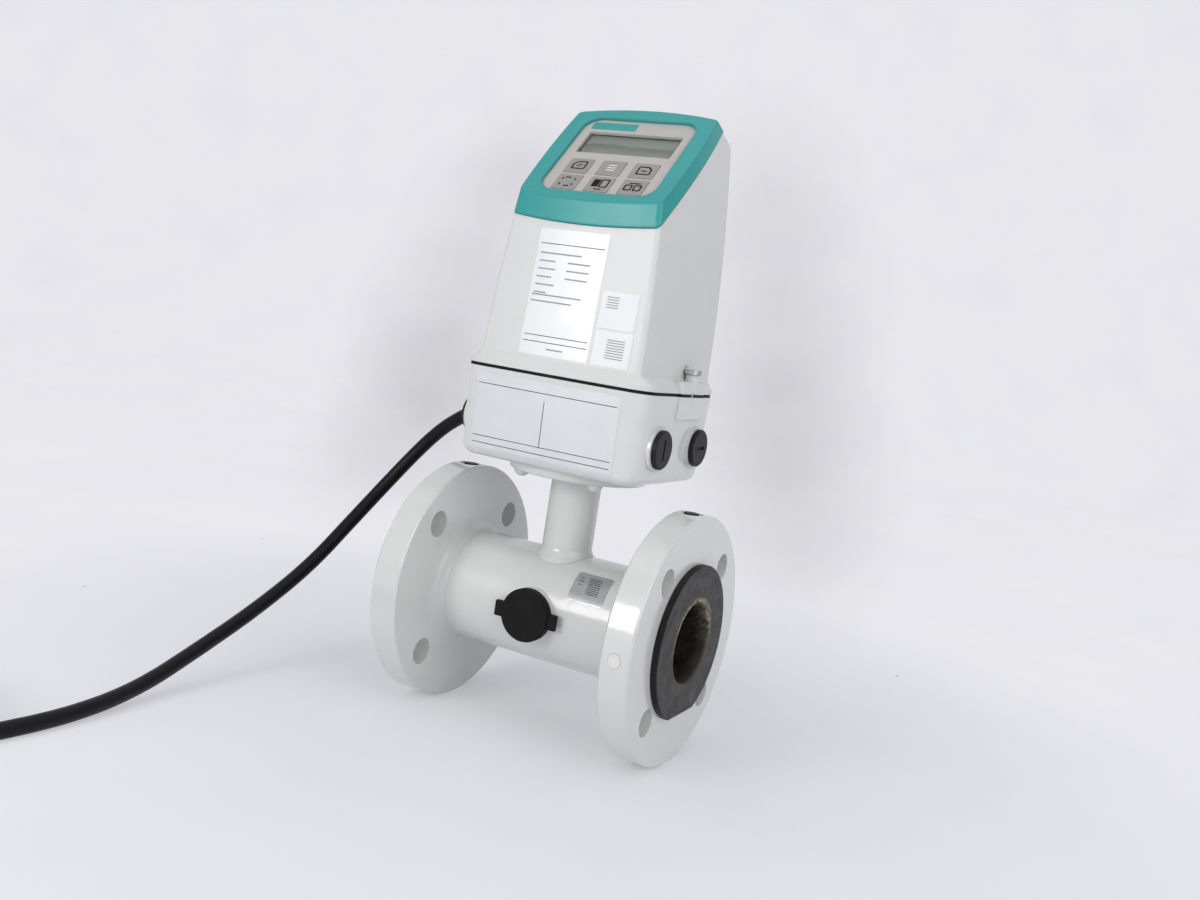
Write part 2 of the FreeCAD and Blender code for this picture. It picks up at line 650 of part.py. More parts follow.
def make_gasket():
    z0, z1 = BOX_TOP_Z, BOX_TOP_Z + GASKET_T

    def slab(inset):
        half_x, half_y = BOX_HALF_X - inset, BOX_HALF_Y - inset
        outline = pillow(z0, half_x, half_y, half_y, BOX_CORNER_R - inset,
                         BOX_SIDE_BULGE, BOX_FRONT_BULGE, BOX_FRONT_BULGE)
        return Part.Face(outline).extrude(Vector(0, 0, z1 - z0))

    ring = slab(GASKET_INSET)
    for side in (1, -1):
        x0, x1 = sorted((side * (BOX_HALF_X - 12), side * (PAD_X - GASKET_INSET)))
        half = PAD_HALF - GASKET_INSET
        ring = ring.fuse(block(x0, x1, PAD_Y - half, PAD_Y + half, z0, z1))
    hole = slab(GASKET_INSET + GASKET_WIDTH)
    for side in (1, -1):
        hole = hole.cut(screw_block(side))
    ring = ring.cut(hole)
    for side in (1, -1):
        ring = ring.cut(rod(Vector(side * SCREW_X, PAD_Y, 0), Z_AXIS, SCREW_D / 2 + RUN_GAP, z0 - 1, z1 + 1))
    return ring.removeSplitter()


def make_blind_plug(side, centre, slot_upright):
    """Screwed plug with a coin slot across its round head."""
    axis = X_AXIS * side
    face = ENTRY_BOSS_X + RUN_GAP
    head = rod(centre, axis, PLUG_HEAD_D / 2, face, face + PLUG_HEAD_T)
    rim = [e for e in head.Edges if abs(e.CenterOfMass.x - side * (face + PLUG_HEAD_T)) < 0.01]
    head = head.makeChamfer(PLUG_EDGE, rim)
    shank = tube(centre, axis, ENTRY_R - RUN_GAP, ENTRY_R - 3, face - PLUG_SHANK_LENGTH, face)
    plug = head.fuse(shank).removeSplitter()
    x0, x1 = sorted((side * (face + PLUG_HEAD_T - SLOT_DEPTH), side * (face + PLUG_HEAD_T + 1)))
    long, wide = PLUG_SLOT_LENGTH / 2, PLUG_SLOT_WIDTH / 2
    dy, dz = (wide, long) if slot_upright else (long, wide)
    return plug.cut(block(x0, x1, centre.y - dy, centre.y + dy, centre.z - dz, centre.z + dz))


def make_captive_screw(side):
    """Slotted cheese-head screw that holds the head down, through lug and pad."""
    place = Vector(side * SCREW_X, PAD_Y, 0)
    seat = LUG_TOP_Z + RUN_GAP
    head = rod(place, Z_AXIS, SCREW_HEAD_D / 2, seat, seat + SCREW_HEAD_T)
    rim = [e for e in head.Edges if abs(e.CenterOfMass.z - seat - SCREW_HEAD_T) < 0.01]
    head = head.makeChamfer(0.4, rim)
    shank = rod(place, Z_AXIS, SCREW_D / 2, SCREW_TIP_Z, seat)
    screw = head.fuse(shank).removeSplitter()
    half = SLOT_WIDTH / 2
    top = seat + SCREW_HEAD_T
    return screw.cut(block(place.x - 10, place.x + 10, PAD_Y - half, PAD_Y + half, top - SLOT_DEPTH, top + 1))


# ---- inside the terminal box -----------------------------------------------------------
BOARD_HALF_X = 46.0
BOARD_HALF_Y = 40.0
SOCKET_HALF_X = 21.0
SOCKET_HALF_Y = 8.0
SOCKET_TOP_Z = 150.0
CONNECTOR_HALF_X = 17.0
CONNECTOR_HALF_Y = 4.0
CONNECTOR_TIP_Z = 138.0
TERMINAL_Y = 24.0
TERMINAL_HALF_X = 30.0
TERMINAL_DEPTH = 12.0
CLAMP_D = 4.8
CLAMP_DEPTH = 5.0
CLAMP_SET = 2.0
WIRE_MOUTH_LOW = 3.0
WIRE_MOUTH_HEIGHT = 5.0
WIRE_MOUTH_DEPTH = 5.0


def make_connection_board():
    board = rounded_plate(-BOARD_HALF_X, BOARD_HALF_X, -BOARD_HALF_Y, BOARD_HALF_Y, 3, BOARD_Z, BOARD_TOP_Z)
    return board


def make_terminal_block(y, ways):
    """Row of screw clamps on the connection board."""
    pitch = 2 * TERMINAL_HALF_X / ways
    half = TERMINAL_HALF_X
    depth = TERMINAL_DEPTH / 2
    top = BOARD_TOP_Z + TERMINAL_HEIGHT
    body = block(-half, half, y - depth, y + depth, BOARD_TOP_Z, top)
    wire_side = 1 if y > 0 else -1
    for k in range(ways):
        x = -half + pitch * (k + 0.5)
        clamp = Vector(x, y - wire_side * CLAMP_SET, 0)
        body = body.cut(rod(clamp, Z_AXIS, CLAMP_D / 2, top - CLAMP_DEPTH, top + 1))
        y0, y1 = sorted((y + wire_side * (depth + 1), y + wire_side * (depth - WIRE_MOUTH_DEPTH)))
        z0 = BOARD_TOP_Z + WIRE_MOUTH_LOW
        body = body.cut(block(x - CLAMP_D / 2, x + CLAMP_D / 2, y0, y1, z0, z0 + WIRE_MOUTH_HEIGHT))
    return body


def make_memory_unit():
    body = block(-BOARD_HALF_X + 2, -SOCKET_HALF_X - 3, -11, 11, BOARD_TOP_Z, BOARD_TOP_Z + 11)
    upright = [e for e in body.Edges if abs(e.tangentAt(e.FirstParameter).z) > 0.9]
    return body.makeFillet(1.5, upright)


def make_socket():
    """Tall socket in the middle of the board that takes the head's connector."""
    tower = rounded_plate(-SOCKET_HALF_X, SOCKET_HALF_X, -SOCKET_HALF_Y, SOCKET_HALF_Y, 2, BOARD_TOP_Z, SOCKET_TOP_Z)
    gap = 2 * RUN_GAP
    return tower.cut(block(-CONNECTOR_HALF_X - gap, CONNECTOR_HALF_X + gap, -CONNECTOR_HALF_Y - gap,
                           CONNECTOR_HALF_Y + gap, CONNECTOR_TIP_Z - 1, SOCKET_TOP_Z + 1))


# ---- cable gland and supply cable ------------------------------------------------------
CABLE_D = 10.0
GLAND_BORE_D = 14.0


def gland_place():
    return entry_centres()[1]


def make_gland_body():
    """Threaded gland body in the rear entry of the -X side."""
    centre, axis = gland_place(), X_AXIS * -1
    flange_end = ENTRY_BOSS_X + GLAND_HEX_T
    body = hexagon(centre, axis, GLAND_HEX_AF, ENTRY_BOSS_X, flange_end)
    body = body.common(rod(centre, axis, GLAND_HEX_AF / 2 + 1.2, ENTRY_BOSS_X - 1, flange_end + 1))
    body = body.fuse(rod(centre, axis, ENTRY_R, ENTRY_BOSS_X - PLUG_SHANK_LENGTH, ENTRY_BOSS_X))
    body = body.fuse(rod(centre, axis, GLAND_NECK_D / 2, flange_end, flange_end + GLAND_NUT_LENGTH - 5))
    bore = rod(centre, axis, GLAND_BORE_D / 2, ENTRY_BOSS_X - 20, GLAND_END_X + 5)
    return body.removeSplitter().cut(bore)


def make_gland_seal():
    """Rubber sleeve between the gland body and the cable."""
    start = ENTRY_BOSS_X - 2
    end = ENTRY_BOSS_X + GLAND_HEX_T + GLAND_NUT_LENGTH - 5
    return tube(gland_place(), X_AXIS * -1, GLAND_BORE_D / 2, CABLE_D / 2, start, end)


def make_gland_nut():
    """Domed compression nut that turns on the gland body."""
    centre, axis = gland_place(), X_AXIS * -1
    start = ENTRY_BOSS_X + GLAND_HEX_T + RUN_GAP
    nut = rod(centre, axis, GLAND_NUT_D / 2, start, GLAND_END_X)
    rim = [e for e in nut.Edges if abs(e.CenterOfMass.x + GLAND_END_X) < 0.01]
    nut = nut.makeFillet(4.5, rim)
    flats = hexagon(centre, axis, GLAND_NUT_D - 1.6, start - 1, GLAND_END_X - 6)
    grip = rod(centre, axis, GLAND_NUT_D, start - 1, GLAND_END_X - 6).cut(flats)
    nut = nut.cut(grip)
    step = ENTRY_BOSS_X + GLAND_HEX_T + GLAND_NUT_LENGTH - 5 + RUN_GAP
    nut = nut.cut(rod(centre, axis, GLAND_NECK_D / 2 + RUN_GAP, start - 1, step))
    return nut.cut(rod(centre, axis, CABLE_D / 2 + RUN_GAP, start - 1, GLAND_END_X + 1))


def make_cable_stub():
    """Sheath inside the gland, stripped to three cores that reach the terminals."""
    centre, axis = gland_place(), X_AXIS * -1
    inner_end = ENTRY_BOSS_X - 12
    sheath = rod(centre, axis, CABLE_D / 2, inner_end, GLAND_END_X)
    pieces = [sheath]
    for k in (-1, 0, 1):
        start = Vector(-inner_end, centre.y + 3.0 * k, centre.z)
        pieces.append(rod(start, X_AXIS, 1.2, -0.5, inner_end - TERMINAL_HALF_X - 2 * RUN_GAP))
    return pieces[0].fuse(pieces[1:]).removeSplitter()


# Route of the free cable, from the gland's mouth down to the floor beside the coil.
FLOOR_Z = -FLANGE_D / 2
CABLE_ROUTE = [
    (-86.0, 29.0, 121.5),
    (-95.5, 29.0, 121.5),
    (-107.3, 29.6, 119.7),
    (-121.3, 31.4, 114.6),
    (-136.8, 34.9, 104.0),
    (-151.5, 36.8, 85.1),
    (-170.1, 30.0, 60.1),
    (-188.1, 11.4, 27.0),
    (-200.8, -21.1, -14.2),
    (-210.1, -73.1, -42.8),
    (-206.6, -129.3, -63.4),
    (-192.9, -186.0, -77.4),
    (-179.6, -240.4, -77.5),
    (-187.6, -289.8, -77.5),
    (-194.5, -332.0, -77.5),
]
COIL_RADIUS = 60.0
COIL_LAYERS = 2
COIL_COLUMNS = 2


def make_cable():
    """Straight runs joined by arcs as large as the runs allow."""
    points = [Vector(*p) for p in CABLE_ROUTE]
    edges = []
    start = points[0]
    for before, here, after in zip(points, points[1:], points[2:]):
        into, out = here - before, after - here
        turn = into.getAngle(out)
        trim = 0.45 * min(into.Length, out.Length)
        radius = trim / math.tan(turn / 2)
        print("cable arc radius %.1f mm, turn %.1f deg" % (radius, math.degrees(turn)))
        first = here - into.normalize() * trim
        last = here + out.normalize() * trim
        centre_line = (first - here) + (last - here)
        to_centre = math.hypot(radius, trim)
        middle = here + centre_line.normalize() * (to_centre - radius)
        edges.append(Part.LineSegment(start, first).toShape())
        edges.append(arc(first, middle, last))
        start = last
    edges.append(Part.LineSegment(start, points[-1]).toShape())
    path = Part.Wire(edges)
    section = Part.Wire(Part.makeCircle(CABLE_D / 2, points[0], points[1] - points[0]))
    cable = path.makePipeShell([section], True, False)
    print("cable length %.1f mm, volume over section times length %.4f" % (
        path.Length, cable.Volume / (math.pi * CABLE_D ** 2 / 4 * path.Length)))
    return cable


def make_cable_coil():
    """Outer shape of the coiled rest of the cable, lying on the floor."""
    end, before = Vector(*CABLE_ROUTE[-1]), Vector(*CABLE_ROUTE[-2])
    heading = (end - before).normalize()
    sideways = Vector(heading.y, -heading.x, 0)
    outer = COIL_RADIUS + CABLE_D * COIL_COLUMNS / 2
    inner = COIL_RADIUS - CABLE_D * COIL_COLUMNS / 2
    centre = Vector(end.x, end.y, 0) + sideways * (outer - CABLE_D / 2)
    print("coil centre %.2f %.2f" % (centre.x, centre.y))
    return tube(centre, Z_AXIS, outer, inner, FLOOR_Z, FLOOR_Z + CABLE_D * COIL_LAYERS), centre


# ---- transmitter head ------------------------------------------------------------------
def head_outline(z, inset):
    """Outline of the head's wall at one height, tapering and leaning back."""
    rise = z - HEAD_Z - SKIRT_HEIGHT
    half_x = HEAD_HALF_X - HEAD_TAPER * rise * abs(rise) - inset
    front = HEAD_FRONT_Y - HEAD_LEAN * rise - inset
    side_bulge = HEAD_SIDE_BULGE + HEAD_SIDE_SWELL * rise
    return pillow(z, half_x, front, HEAD_BACK_Y - inset, HEAD_CORNER_R - inset, side_bulge,
                  HEAD_FRONT_BULGE, HEAD_BACK_BULGE, HEAD_CREST_Y, HEAD_BACK_CORNER_R - inset)


def head_solid(inset, bottom):
    wall_z = HEAD_Z + SKIRT_HEIGHT
    levels = [bottom, wall_z + 45, wall_z + 90, wall_z + 135, HEAD_LOFT_TOP]
    return Part.makeLoft([head_outline(z, inset) for z in levels], True, False)


def skirt_solid(inset):
    """Flared foot of the head, as wide as the terminal box."""
    half_x, half_y = BOX_HALF_X - inset, BOX_HALF_Y - inset
    sections = [pillow(z, half_x, half_y, half_y, BOX_CORNER_R - inset,
                       BOX_SIDE_BULGE, BOX_FRONT_BULGE, BOX_FRONT_BULGE) for z in (HEAD_Z, HEAD_Z + SKIRT_RISE)]
    sections.append(head_outline(HEAD_Z + SKIRT_HEIGHT, inset))
    return sections


def above_slope(level):
    """Everything outside one level of the display face."""
    return on_slope(block(-BIG, BIG, -BIG, BIG, level, BIG))


def fillet_points(corner, into, out, radius):
    """Ends and middle of the arc that rounds a corner between two directions."""
    half_turn = into.getAngle(out) / 2
    trim = radius * math.tan(half_turn)
    inward = (out - into).normalize()
    middle = corner + inward * (radius / math.cos(half_turn) - radius)
    return corner - into * trim, middle, corner + out * trim


def roof_axes():
    fall = math.radians(ROOF_FALL_DEG)
    along = Vector(0, math.cos(fall), -math.sin(fall))
    up = Vector(0, math.sin(fall), math.cos(fall))
    return along, up, Vector(0, ROOF_Y, ROOF_Z)


def under_roof(drop):
    """Everything under the arched roof, rounded over into the rear wall."""
    along, up, crest = roof_axes()
    axis_point = crest - up * (ROOF_RADIUS + drop)
    top = axis_point + up * ROOF_RADIUS
    rear = HEAD_BACK_Y - drop
    corner = top + along * ((rear - top.y) / along.y)
    down = Vector(0, math.sin(math.radians(ROOF_EDGE_FLARE)), -math.cos(math.radians(ROOF_EDGE_FLARE)))
    start, middle, end = fillet_points(corner, along, down, ROOF_EDGE_R)
    front = top - along * BIG
    foot = end + down * (ROOF_RADIUS / 2)
    points = [foot, axis_point + along * BIG, axis_point - along * BIG, front, start]
    edges = [Part.makeLine(p, q) for p, q in zip(points, points[1:])]
    edges += [arc(start, middle, end), Part.makeLine(end, foot)]
    return Part.Face(Part.Wire(edges)).revolve(axis_point, along, 360).cut(roof_shoulders(drop))


def roof_shoulders(drop):
    """What is cut away along both sides of the roof to round them."""
    along, up, crest = roof_axes()
    axis_point = crest - up * (ROOF_RADIUS + drop)
    angle = math.asin((ROOF_HALF_X - drop) / ROOF_RADIUS)
    pieces = []
    for side in (1, -1):
        outward = Vector(side * math.cos(angle), 0, 0) - up * math.sin(angle)
        corner = axis_point + Vector(side * ROOF_HALF_X - side * drop, 0, 0) + up * (ROOF_RADIUS * math.cos(angle))
        down = (Vector(side * ROOF_SIDE_SLOPE, 0, 0) - up).normalize()
        start, middle, end = fillet_points(corner, outward, down, ROOF_EDGE_R)
        points = [end, end + down * ROOF_RADIUS / 4, end + down * ROOF_RADIUS / 4 + Vector(side * BIG, 0, 0),
                  start + Vector(side * BIG, 0, 0) + up * ROOF_RADIUS, start + up * ROOF_RADIUS, start]
        edges = [Part.makeLine(p, q) for p, q in zip(points, points[1:])]
        edges.append(arc(start, middle, end))
        face = Part.Face(Part.Wire(edges))
        face.translate(along * -BIG)
        pieces.append(face.extrude(along * (2 * BIG)))
    return pieces[0].fuse(pieces[1])


def head_envelope(inset, drop):
    """Head wall under the roof, from the top of its skirt."""
    return head_solid(inset, HEAD_Z + SKIRT_HEIGHT).common(under_roof(drop))


def make_head_housing():
    outer = head_envelope(0, 0).cut(above_slope(BEZEL_BOTTOM))
    skirt = skirt_solid(0)
    foot = Part.makeLoft(skirt[:2], True, True).fuse(Part.makeLoft(skirt[1:], True, True))
    shell = outer.fuse(foot)
    for side in (1, -1):
        pad = lug_pad(HEAD_Z, HEAD_Z + SKIRT_HEIGHT - 1, side)
        lug = rod(Vector(side * SCREW_X, PAD_Y, 0), Z_AXIS, LUG_D / 2, HEAD_Z + 1, LUG_TOP_Z)
        shell = shell.fuse([pad, lug])
    room = head_solid(HEAD_WALL, HEAD_Z + BASE_SEAT).common(under_roof(HEAD_WALL)).cut(above_slope(BEZEL_BOTTOM - 4))
    opening = on_slope(rounded_plate(-PANEL_HALF_X - BEZEL_LIP, PANEL_HALF_X + BEZEL_LIP, PANEL_LOW - BEZEL_LIP,
                                     PANEL_HIGH + BEZEL_LIP, PANEL_CORNER_R, BEZEL_BOTTOM - 8, 20))
    mouth = foot_room(0)
    shell = shell.cut(room.fuse([mouth]).fuse(opening))
    for side in (1, -1):
        screw = Vector(side * SCREW_X, PAD_Y, 0)
        shell = shell.cut(rod(screw, Z_AXIS, SCREW_D / 2 + RUN_GAP, HEAD_Z - 1, LUG_TOP_Z + 1))
        shell = shell.cut(rod(screw, Z_AXIS, SCREW_HEAD_D / 2 + RUN_GAP, LUG_TOP_Z, LUG_TOP_Z + NICHE_HEIGHT))
    return shell


BASE_SEAT = 5.0
BASE_LEDGE = 1.2
BASE_T = 3.0


def foot_room(inset):
    """Room in the head's foot, below the seat of its base plate."""
    step = HEAD_WALL - BASE_LEDGE + inset
    outline = pillow(HEAD_Z - 1, HEAD_HALF_X - step, HEAD_FRONT_Y - step, HEAD_BACK_Y - step, HEAD_CORNER_R - step,
                     HEAD_SIDE_BULGE, HEAD_FRONT_BULGE, HEAD_BACK_BULGE, HEAD_CREST_Y, HEAD_BACK_CORNER_R - step)
    return Part.Face(outline).extrude(Vector(0, 0, BASE_SEAT + 1))


def make_head_base():
    """Plate that closes the head's foot, seated against a step in its wall."""
    room = foot_room(RUN_GAP)
    return room.common(block(-BIG, BIG, -BIG, BIG, HEAD_Z + BASE_SEAT - BASE_T, HEAD_Z + BASE_SEAT))


def make_bezel():
    """Coloured frame round the display: follows the head's outline, lipped inside."""
    body = head_solid(-BEZEL_PROUD, HEAD_Z + SKIRT_HEIGHT).common(under_roof(-BEZEL_PROUD))
    body = body.cut(above_slope(BEZEL_TOP)).common(above_slope(BEZEL_BOTTOM))
    sight = on_slope(rounded_plate(-PANEL_HALF_X, PANEL_HALF_X, PANEL_LOW, PANEL_HIGH, PANEL_CORNER_R, -1, BIG / 10))
    seat = on_slope(rounded_plate(-PANEL_HALF_X - BEZEL_LIP, PANEL_HALF_X + BEZEL_LIP, PANEL_LOW - BEZEL_LIP,
                                  PANEL_HIGH + BEZEL_LIP, PANEL_CORNER_R + BEZEL_LIP, -30, 0))
    return body.cut(sight).cut(seat)


def key_places():
    """Middles of the six keys on the display face."""
    return [(column * KEY_PITCH_X, row) for row in KEY_ROWS for column in (-1, 0, 1)]


def make_keypad_panel():
    margin = BEZEL_LIP - RUN_GAP
    panel = rounded_plate(-PANEL_HALF_X - margin, PANEL_HALF_X + margin, PANEL_LOW - margin,
                          PANEL_HIGH + margin, PANEL_CORNER_R + margin, -PANEL_T, 0)
    panel = panel.cut(rounded_plate(-WINDOW_HALF_X, WINDOW_HALF_X, WINDOW_LOW, WINDOW_HIGH, 1.0, -10, 10))
    for x, y in key_places():
        half_x, half_y = KEY_WIDTH / 2 + RUN_GAP, KEY_HEIGHT / 2 + RUN_GAP
        panel = panel.cut(rounded_plate(x - half_x, x + half_x, y - half_y, y + half_y, KEY_CORNER_R + RUN_GAP, -10, 10))
    return on_slope(panel)


def make_key(x, y):
    """Key cap held under the panel by its flange."""
    half_x, half_y = KEY_WIDTH / 2, KEY_HEIGHT / 2
    under = -PANEL_T - RUN_GAP
    cap = rounded_plate(x - half_x, x + half_x, y - half_y, y + half_y, KEY_CORNER_R, under, KEY_PROUD)
    flange = block(x - half_x - KEY_FLANGE, x + half_x + KEY_FLANGE, y - half_y - KEY_FLANGE,
                   y + half_y + KEY_FLANGE, under - KEY_FLANGE_T, under)
    return on_slope(cap.fuse(flange).removeSplitter())


def make_display_window():
    seat = WINDOW_SEAT
    return on_slope(rounded_plate(-WINDOW_HALF_X - seat, WINDOW_HALF_X + seat, WINDOW_LOW - seat, WINDOW_HIGH + seat,
                                  2.0, -PANEL_T - WINDOW_T, -PANEL_T))


KEY_BOARD_Z = -PANEL_T - RUN_GAP - KEY_FLANGE_T - KEY_TRAVEL - DOME_H - RUN_GAP


def make_key_board():
    """Switch board behind panel and display, on posts that reach the panel."""
    board = rounded_plate(-PANEL_HALF_X, PANEL_HALF_X, PANEL_LOW, PANEL_HIGH - 4, 8, KEY_BOARD_Z - BOARD_T, KEY_BOARD_Z)
    domes = [rod(Vector(x, y, 0), Z_AXIS, DOME_D / 2, KEY_BOARD_Z - 0.5, KEY_BOARD_Z + DOME_H) for x, y in key_places()]
    posts = [rod(Vector(sx * (PANEL_HALF_X - 3), y, 0), Z_AXIS, 2, KEY_BOARD_Z - 0.5, -PANEL_T)
             for sx in (1, -1) for y in (PANEL_LOW + 8, PANEL_HIGH - 11)]
    return on_slope(board.fuse(domes + posts).removeSplitter())


def make_display_module():
    """Liquid crystal cell between the window and the board."""
    half = WINDOW_HALF_X
    return on_slope(block(-half, half, WINDOW_LOW, WINDOW_HIGH, KEY_BOARD_Z, -PANEL_T - WINDOW_T))


MAIN_BOARD_Y = 26.0
MAIN_BOARD_HALF_X = 44.0
MAIN_BOARD_TOP_Z = 290.0
# Chips on the main board: middle across, height, width, depth of face, thickness.
MAIN_BOARD_CHIPS = (
    (-24.0, 250.0, 14.0, 14.0, 2.4),
    (8.0, 262.0, 20.0, 10.0, 3.5),
    (26.0, 226.0, 9.0, 18.0, 9.0),
    (-6.0, 224.0, 12.0, 12.0, 2.0),
)
POWER_WIDTH = 52.0
POWER_DEPTH = 22.0
POWER_HEIGHT = 40.0
WINDING_INSET_X = 8.0
WINDING_INSET_Z = 6.0
WINDING_PROUD = 2.5
WINDING_ROUND = 2.0


def make_main_board():
    """Upright electronics board standing on the head's base plate."""
    z0 = HEAD_Z + BASE_SEAT
    board = block(-MAIN_BOARD_HALF_X, MAIN_BOARD_HALF_X, MAIN_BOARD_Y, MAIN_BOARD_Y + BOARD_T, z0, MAIN_BOARD_TOP_Z)
    chips = []
    for x, z, w, h, t in MAIN_BOARD_CHIPS:
        chips.append(block(x - w / 2, x + w / 2, MAIN_BOARD_Y - t, MAIN_BOARD_Y + 0.5, z - h / 2, z + h / 2))
    return board.fuse(chips).removeSplitter()


def make_power_module():
    """Supply transformer on the rear of the electronics board."""
    y0 = MAIN_BOARD_Y + BOARD_T
    z0 = HEAD_Z + BASE_SEAT
    half = POWER_WIDTH / 2
    core = block(-half, half, y0, y0 + POWER_DEPTH, z0, z0 + POWER_HEIGHT)
    half = POWER_WIDTH / 2 - WINDING_INSET_X
    winding = block(-half, half, y0 + 1, y0 + POWER_DEPTH + WINDING_PROUD, z0 + WINDING_INSET_Z,
                    z0 + POWER_HEIGHT - WINDING_INSET_Z)
    upright = [e for e in winding.Edges if abs(e.tangentAt(e.FirstParameter).z) > 0.9]
    return core.fuse(winding.makeFillet(WINDING_ROUND, upright)).removeSplitter()


def make_connector():
    """Blade connector under the head's base plate."""
    z1 = HEAD_Z + BASE_SEAT - BASE_T
    blade = block(-CONNECTOR_HALF_X, CONNECTOR_HALF_X, -CONNECTOR_HALF_Y, CONNECTOR_HALF_Y, CONNECTOR_TIP_Z, z1)
    collar = block(-SOCKET_HALF_X, SOCKET_HALF_X, -SOCKET_HALF_Y, SOCKET_HALF_Y, z1 - 3, z1)
    return blade.fuse(collar).removeSplitter()


# ---- build -----------------------------------------------------------------------------
def build_flow_tube():
    flange = make_flange()
    side_hole = rim_hole(Y_AXIS * -1)
    export("flange_outlet", flange.cut(side_hole))
    export("flange_inlet", mirrored_x(flange))
    export("outer_tube", make_shell())
    export("measuring_tube", make_measuring_tube())
    export("liner", make_liner())
    export("field_coil_upper", make_coil())
    export("field_coil_lower", make_coil().mirror(ORIGIN, Z_AXIS))
    export("pole_core_upper", make_core())
    export("pole_core_lower", make_core().mirror(ORIGIN, Z_AXIS))
    seat = THROAT_R + ELECTRODE_HEAD_T
    front, back, down = Y_AXIS * -1, Y_AXIS, Z_AXIS * -1
    export("electrode_front", make_electrode(ORIGIN, front, seat))
    export("electrode_back", make_electrode(ORIGIN, back, seat))
    grounds = [Vector(s * GROUND_ELECTRODE_X, 0, 0) for s in (1, -1)]
    export("ground_electrodes", Part.makeCompound([make_electrode(g, down, ground_seat()) for g in grounds]))
    export("electrode_insulators", Part.makeCompound([make_insulator(a) for a in (front, back)]))
    export("electrode_nuts", Part.makeCompound([make_electrode_nut(ORIGIN, a) for a in (front, back)]))
    export("cap_seat_front", make_cap_seat())
    export("cap_seat_back", mirrored_y(make_cap_seat()))
    export("electrode_cap_front", make_electrode_cap())
    export("electrode_cap_back", mirrored_y(make_electrode_cap()))
    rim_plug = make_rim_plug()
    export("rim_plugs_top", Part.makeCompound([rim_plug, mirrored_x(rim_plug)]))
    export("rim_plug_side", make_side_rim_plug())


def build_neck_and_box():
    export("neck_tube", make_neck())
    export("neck_plate", make_neck_plate())
    export("neck_screws", Part.makeCompound([make_neck_screw(p) for p in neck_screw_places()]))
    export("sensor_leads", make_leads())
    export("terminal_box", make_terminal_box())
    export("terminal_gasket", make_gasket())
    export("connection_board", make_connection_board())
    export("terminals_supply", make_terminal_block(TERMINAL_Y, 8))
    export("terminals_output", make_terminal_block(-TERMINAL_Y, 8))
    export("memory_unit", make_memory_unit())
    export("connector_socket", make_socket())
    names = ("outlet_front", "outlet_back", "inlet_front")
    export("plug_seals", Part.makeCompound([seal_ring(side, centre) for side, centre in plug_places()]))
    for (side, centre), name in zip(plug_places(), names):
        export("blind_plug_" + name, make_blind_plug(side, centre, name != "outlet_back"))
    export("gland_body", make_gland_body())
    export("gland_seal", make_gland_seal())
    export("gland_nut", make_gland_nut())
    export("cable_stub", make_cable_stub())
    export("supply_cable", make_cable())
    export("cable_coil", make_cable_coil()[0])


def build_head():
    export("head_housing", make_head_housing())
    export("head_base", make_head_base())
    export("bezel", make_bezel())
    export("keypad_panel", make_keypad_panel())
    for number, (x, y) in enumerate(key_places(), 1):
        export("key_%d" % number, make_key(x, y))
    export("display_window", make_display_window())
    export("display_module", make_display_module())
    export("key_board", make_key_board())
    export("main_board", make_main_board())
    export("power_module", make_power_module())
    export("head_connector", make_connector())
    export("captive_screw_outlet", make_captive_screw(1))
    export("captive_screw_inlet", make_captive_screw(-1))


os.makedirs("parts", exist_ok=True)
build_flow_tube()
build_neck_and_box()
build_head()
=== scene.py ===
"""Electromagnetic flow meter on a pale studio floor. Metres, in the frame of the CAD model."""
import math
import bpy
import bmesh
from mathutils import Matrix, Vector
from mathutils.bvhtree import BVHTree


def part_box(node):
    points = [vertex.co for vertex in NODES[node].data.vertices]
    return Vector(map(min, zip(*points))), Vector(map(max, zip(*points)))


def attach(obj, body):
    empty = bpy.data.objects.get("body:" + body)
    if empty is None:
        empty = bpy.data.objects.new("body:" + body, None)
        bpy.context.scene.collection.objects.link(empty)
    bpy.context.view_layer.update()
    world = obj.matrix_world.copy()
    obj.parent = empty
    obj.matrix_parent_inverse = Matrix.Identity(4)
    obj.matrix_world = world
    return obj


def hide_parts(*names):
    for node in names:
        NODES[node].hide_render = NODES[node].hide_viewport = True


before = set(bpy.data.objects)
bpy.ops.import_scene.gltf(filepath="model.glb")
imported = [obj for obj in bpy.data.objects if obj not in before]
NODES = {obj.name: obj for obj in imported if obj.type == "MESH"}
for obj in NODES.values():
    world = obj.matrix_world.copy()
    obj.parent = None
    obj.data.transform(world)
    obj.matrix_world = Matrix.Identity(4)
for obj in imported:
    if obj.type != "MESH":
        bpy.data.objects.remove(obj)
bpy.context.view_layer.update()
MM = 0.001
SENSOR, HEAD = "sensor", "transmitter"
FLOOR_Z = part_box("flange_outlet")[0][2]
CAMERA_PLACE = Vector((0.3644, -0.6941, 0.1930))
CAMERA_RIGHT = Vector((0.8743, 0.4601, 0.1514))
CAMERA_UP = Vector((-0.1830, 0.0245, 0.9828))
CAMERA_LENS, CAMERA_SENSOR = 35.25, 36.0    # mm
scene = bpy.context.scene


# ---- objects ---------------------------------------------------------------------------
def add_object(name, data, body=None, material=None):
    """Links an object, and gives it its material and the body that it rides on."""
    obj = bpy.data.objects.new(name, data)
    scene.collection.objects.link(obj)
    if material:
        data.materials.append(material)
    if body:
        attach(obj, body)
    return obj


def mesh_from(name, verts, faces, smooth=False):
    mesh = bpy.data.meshes.new(name)
    mesh.from_pydata(verts, [], faces)
    mesh.update()
    if smooth:
        mesh.shade_smooth()
    return mesh


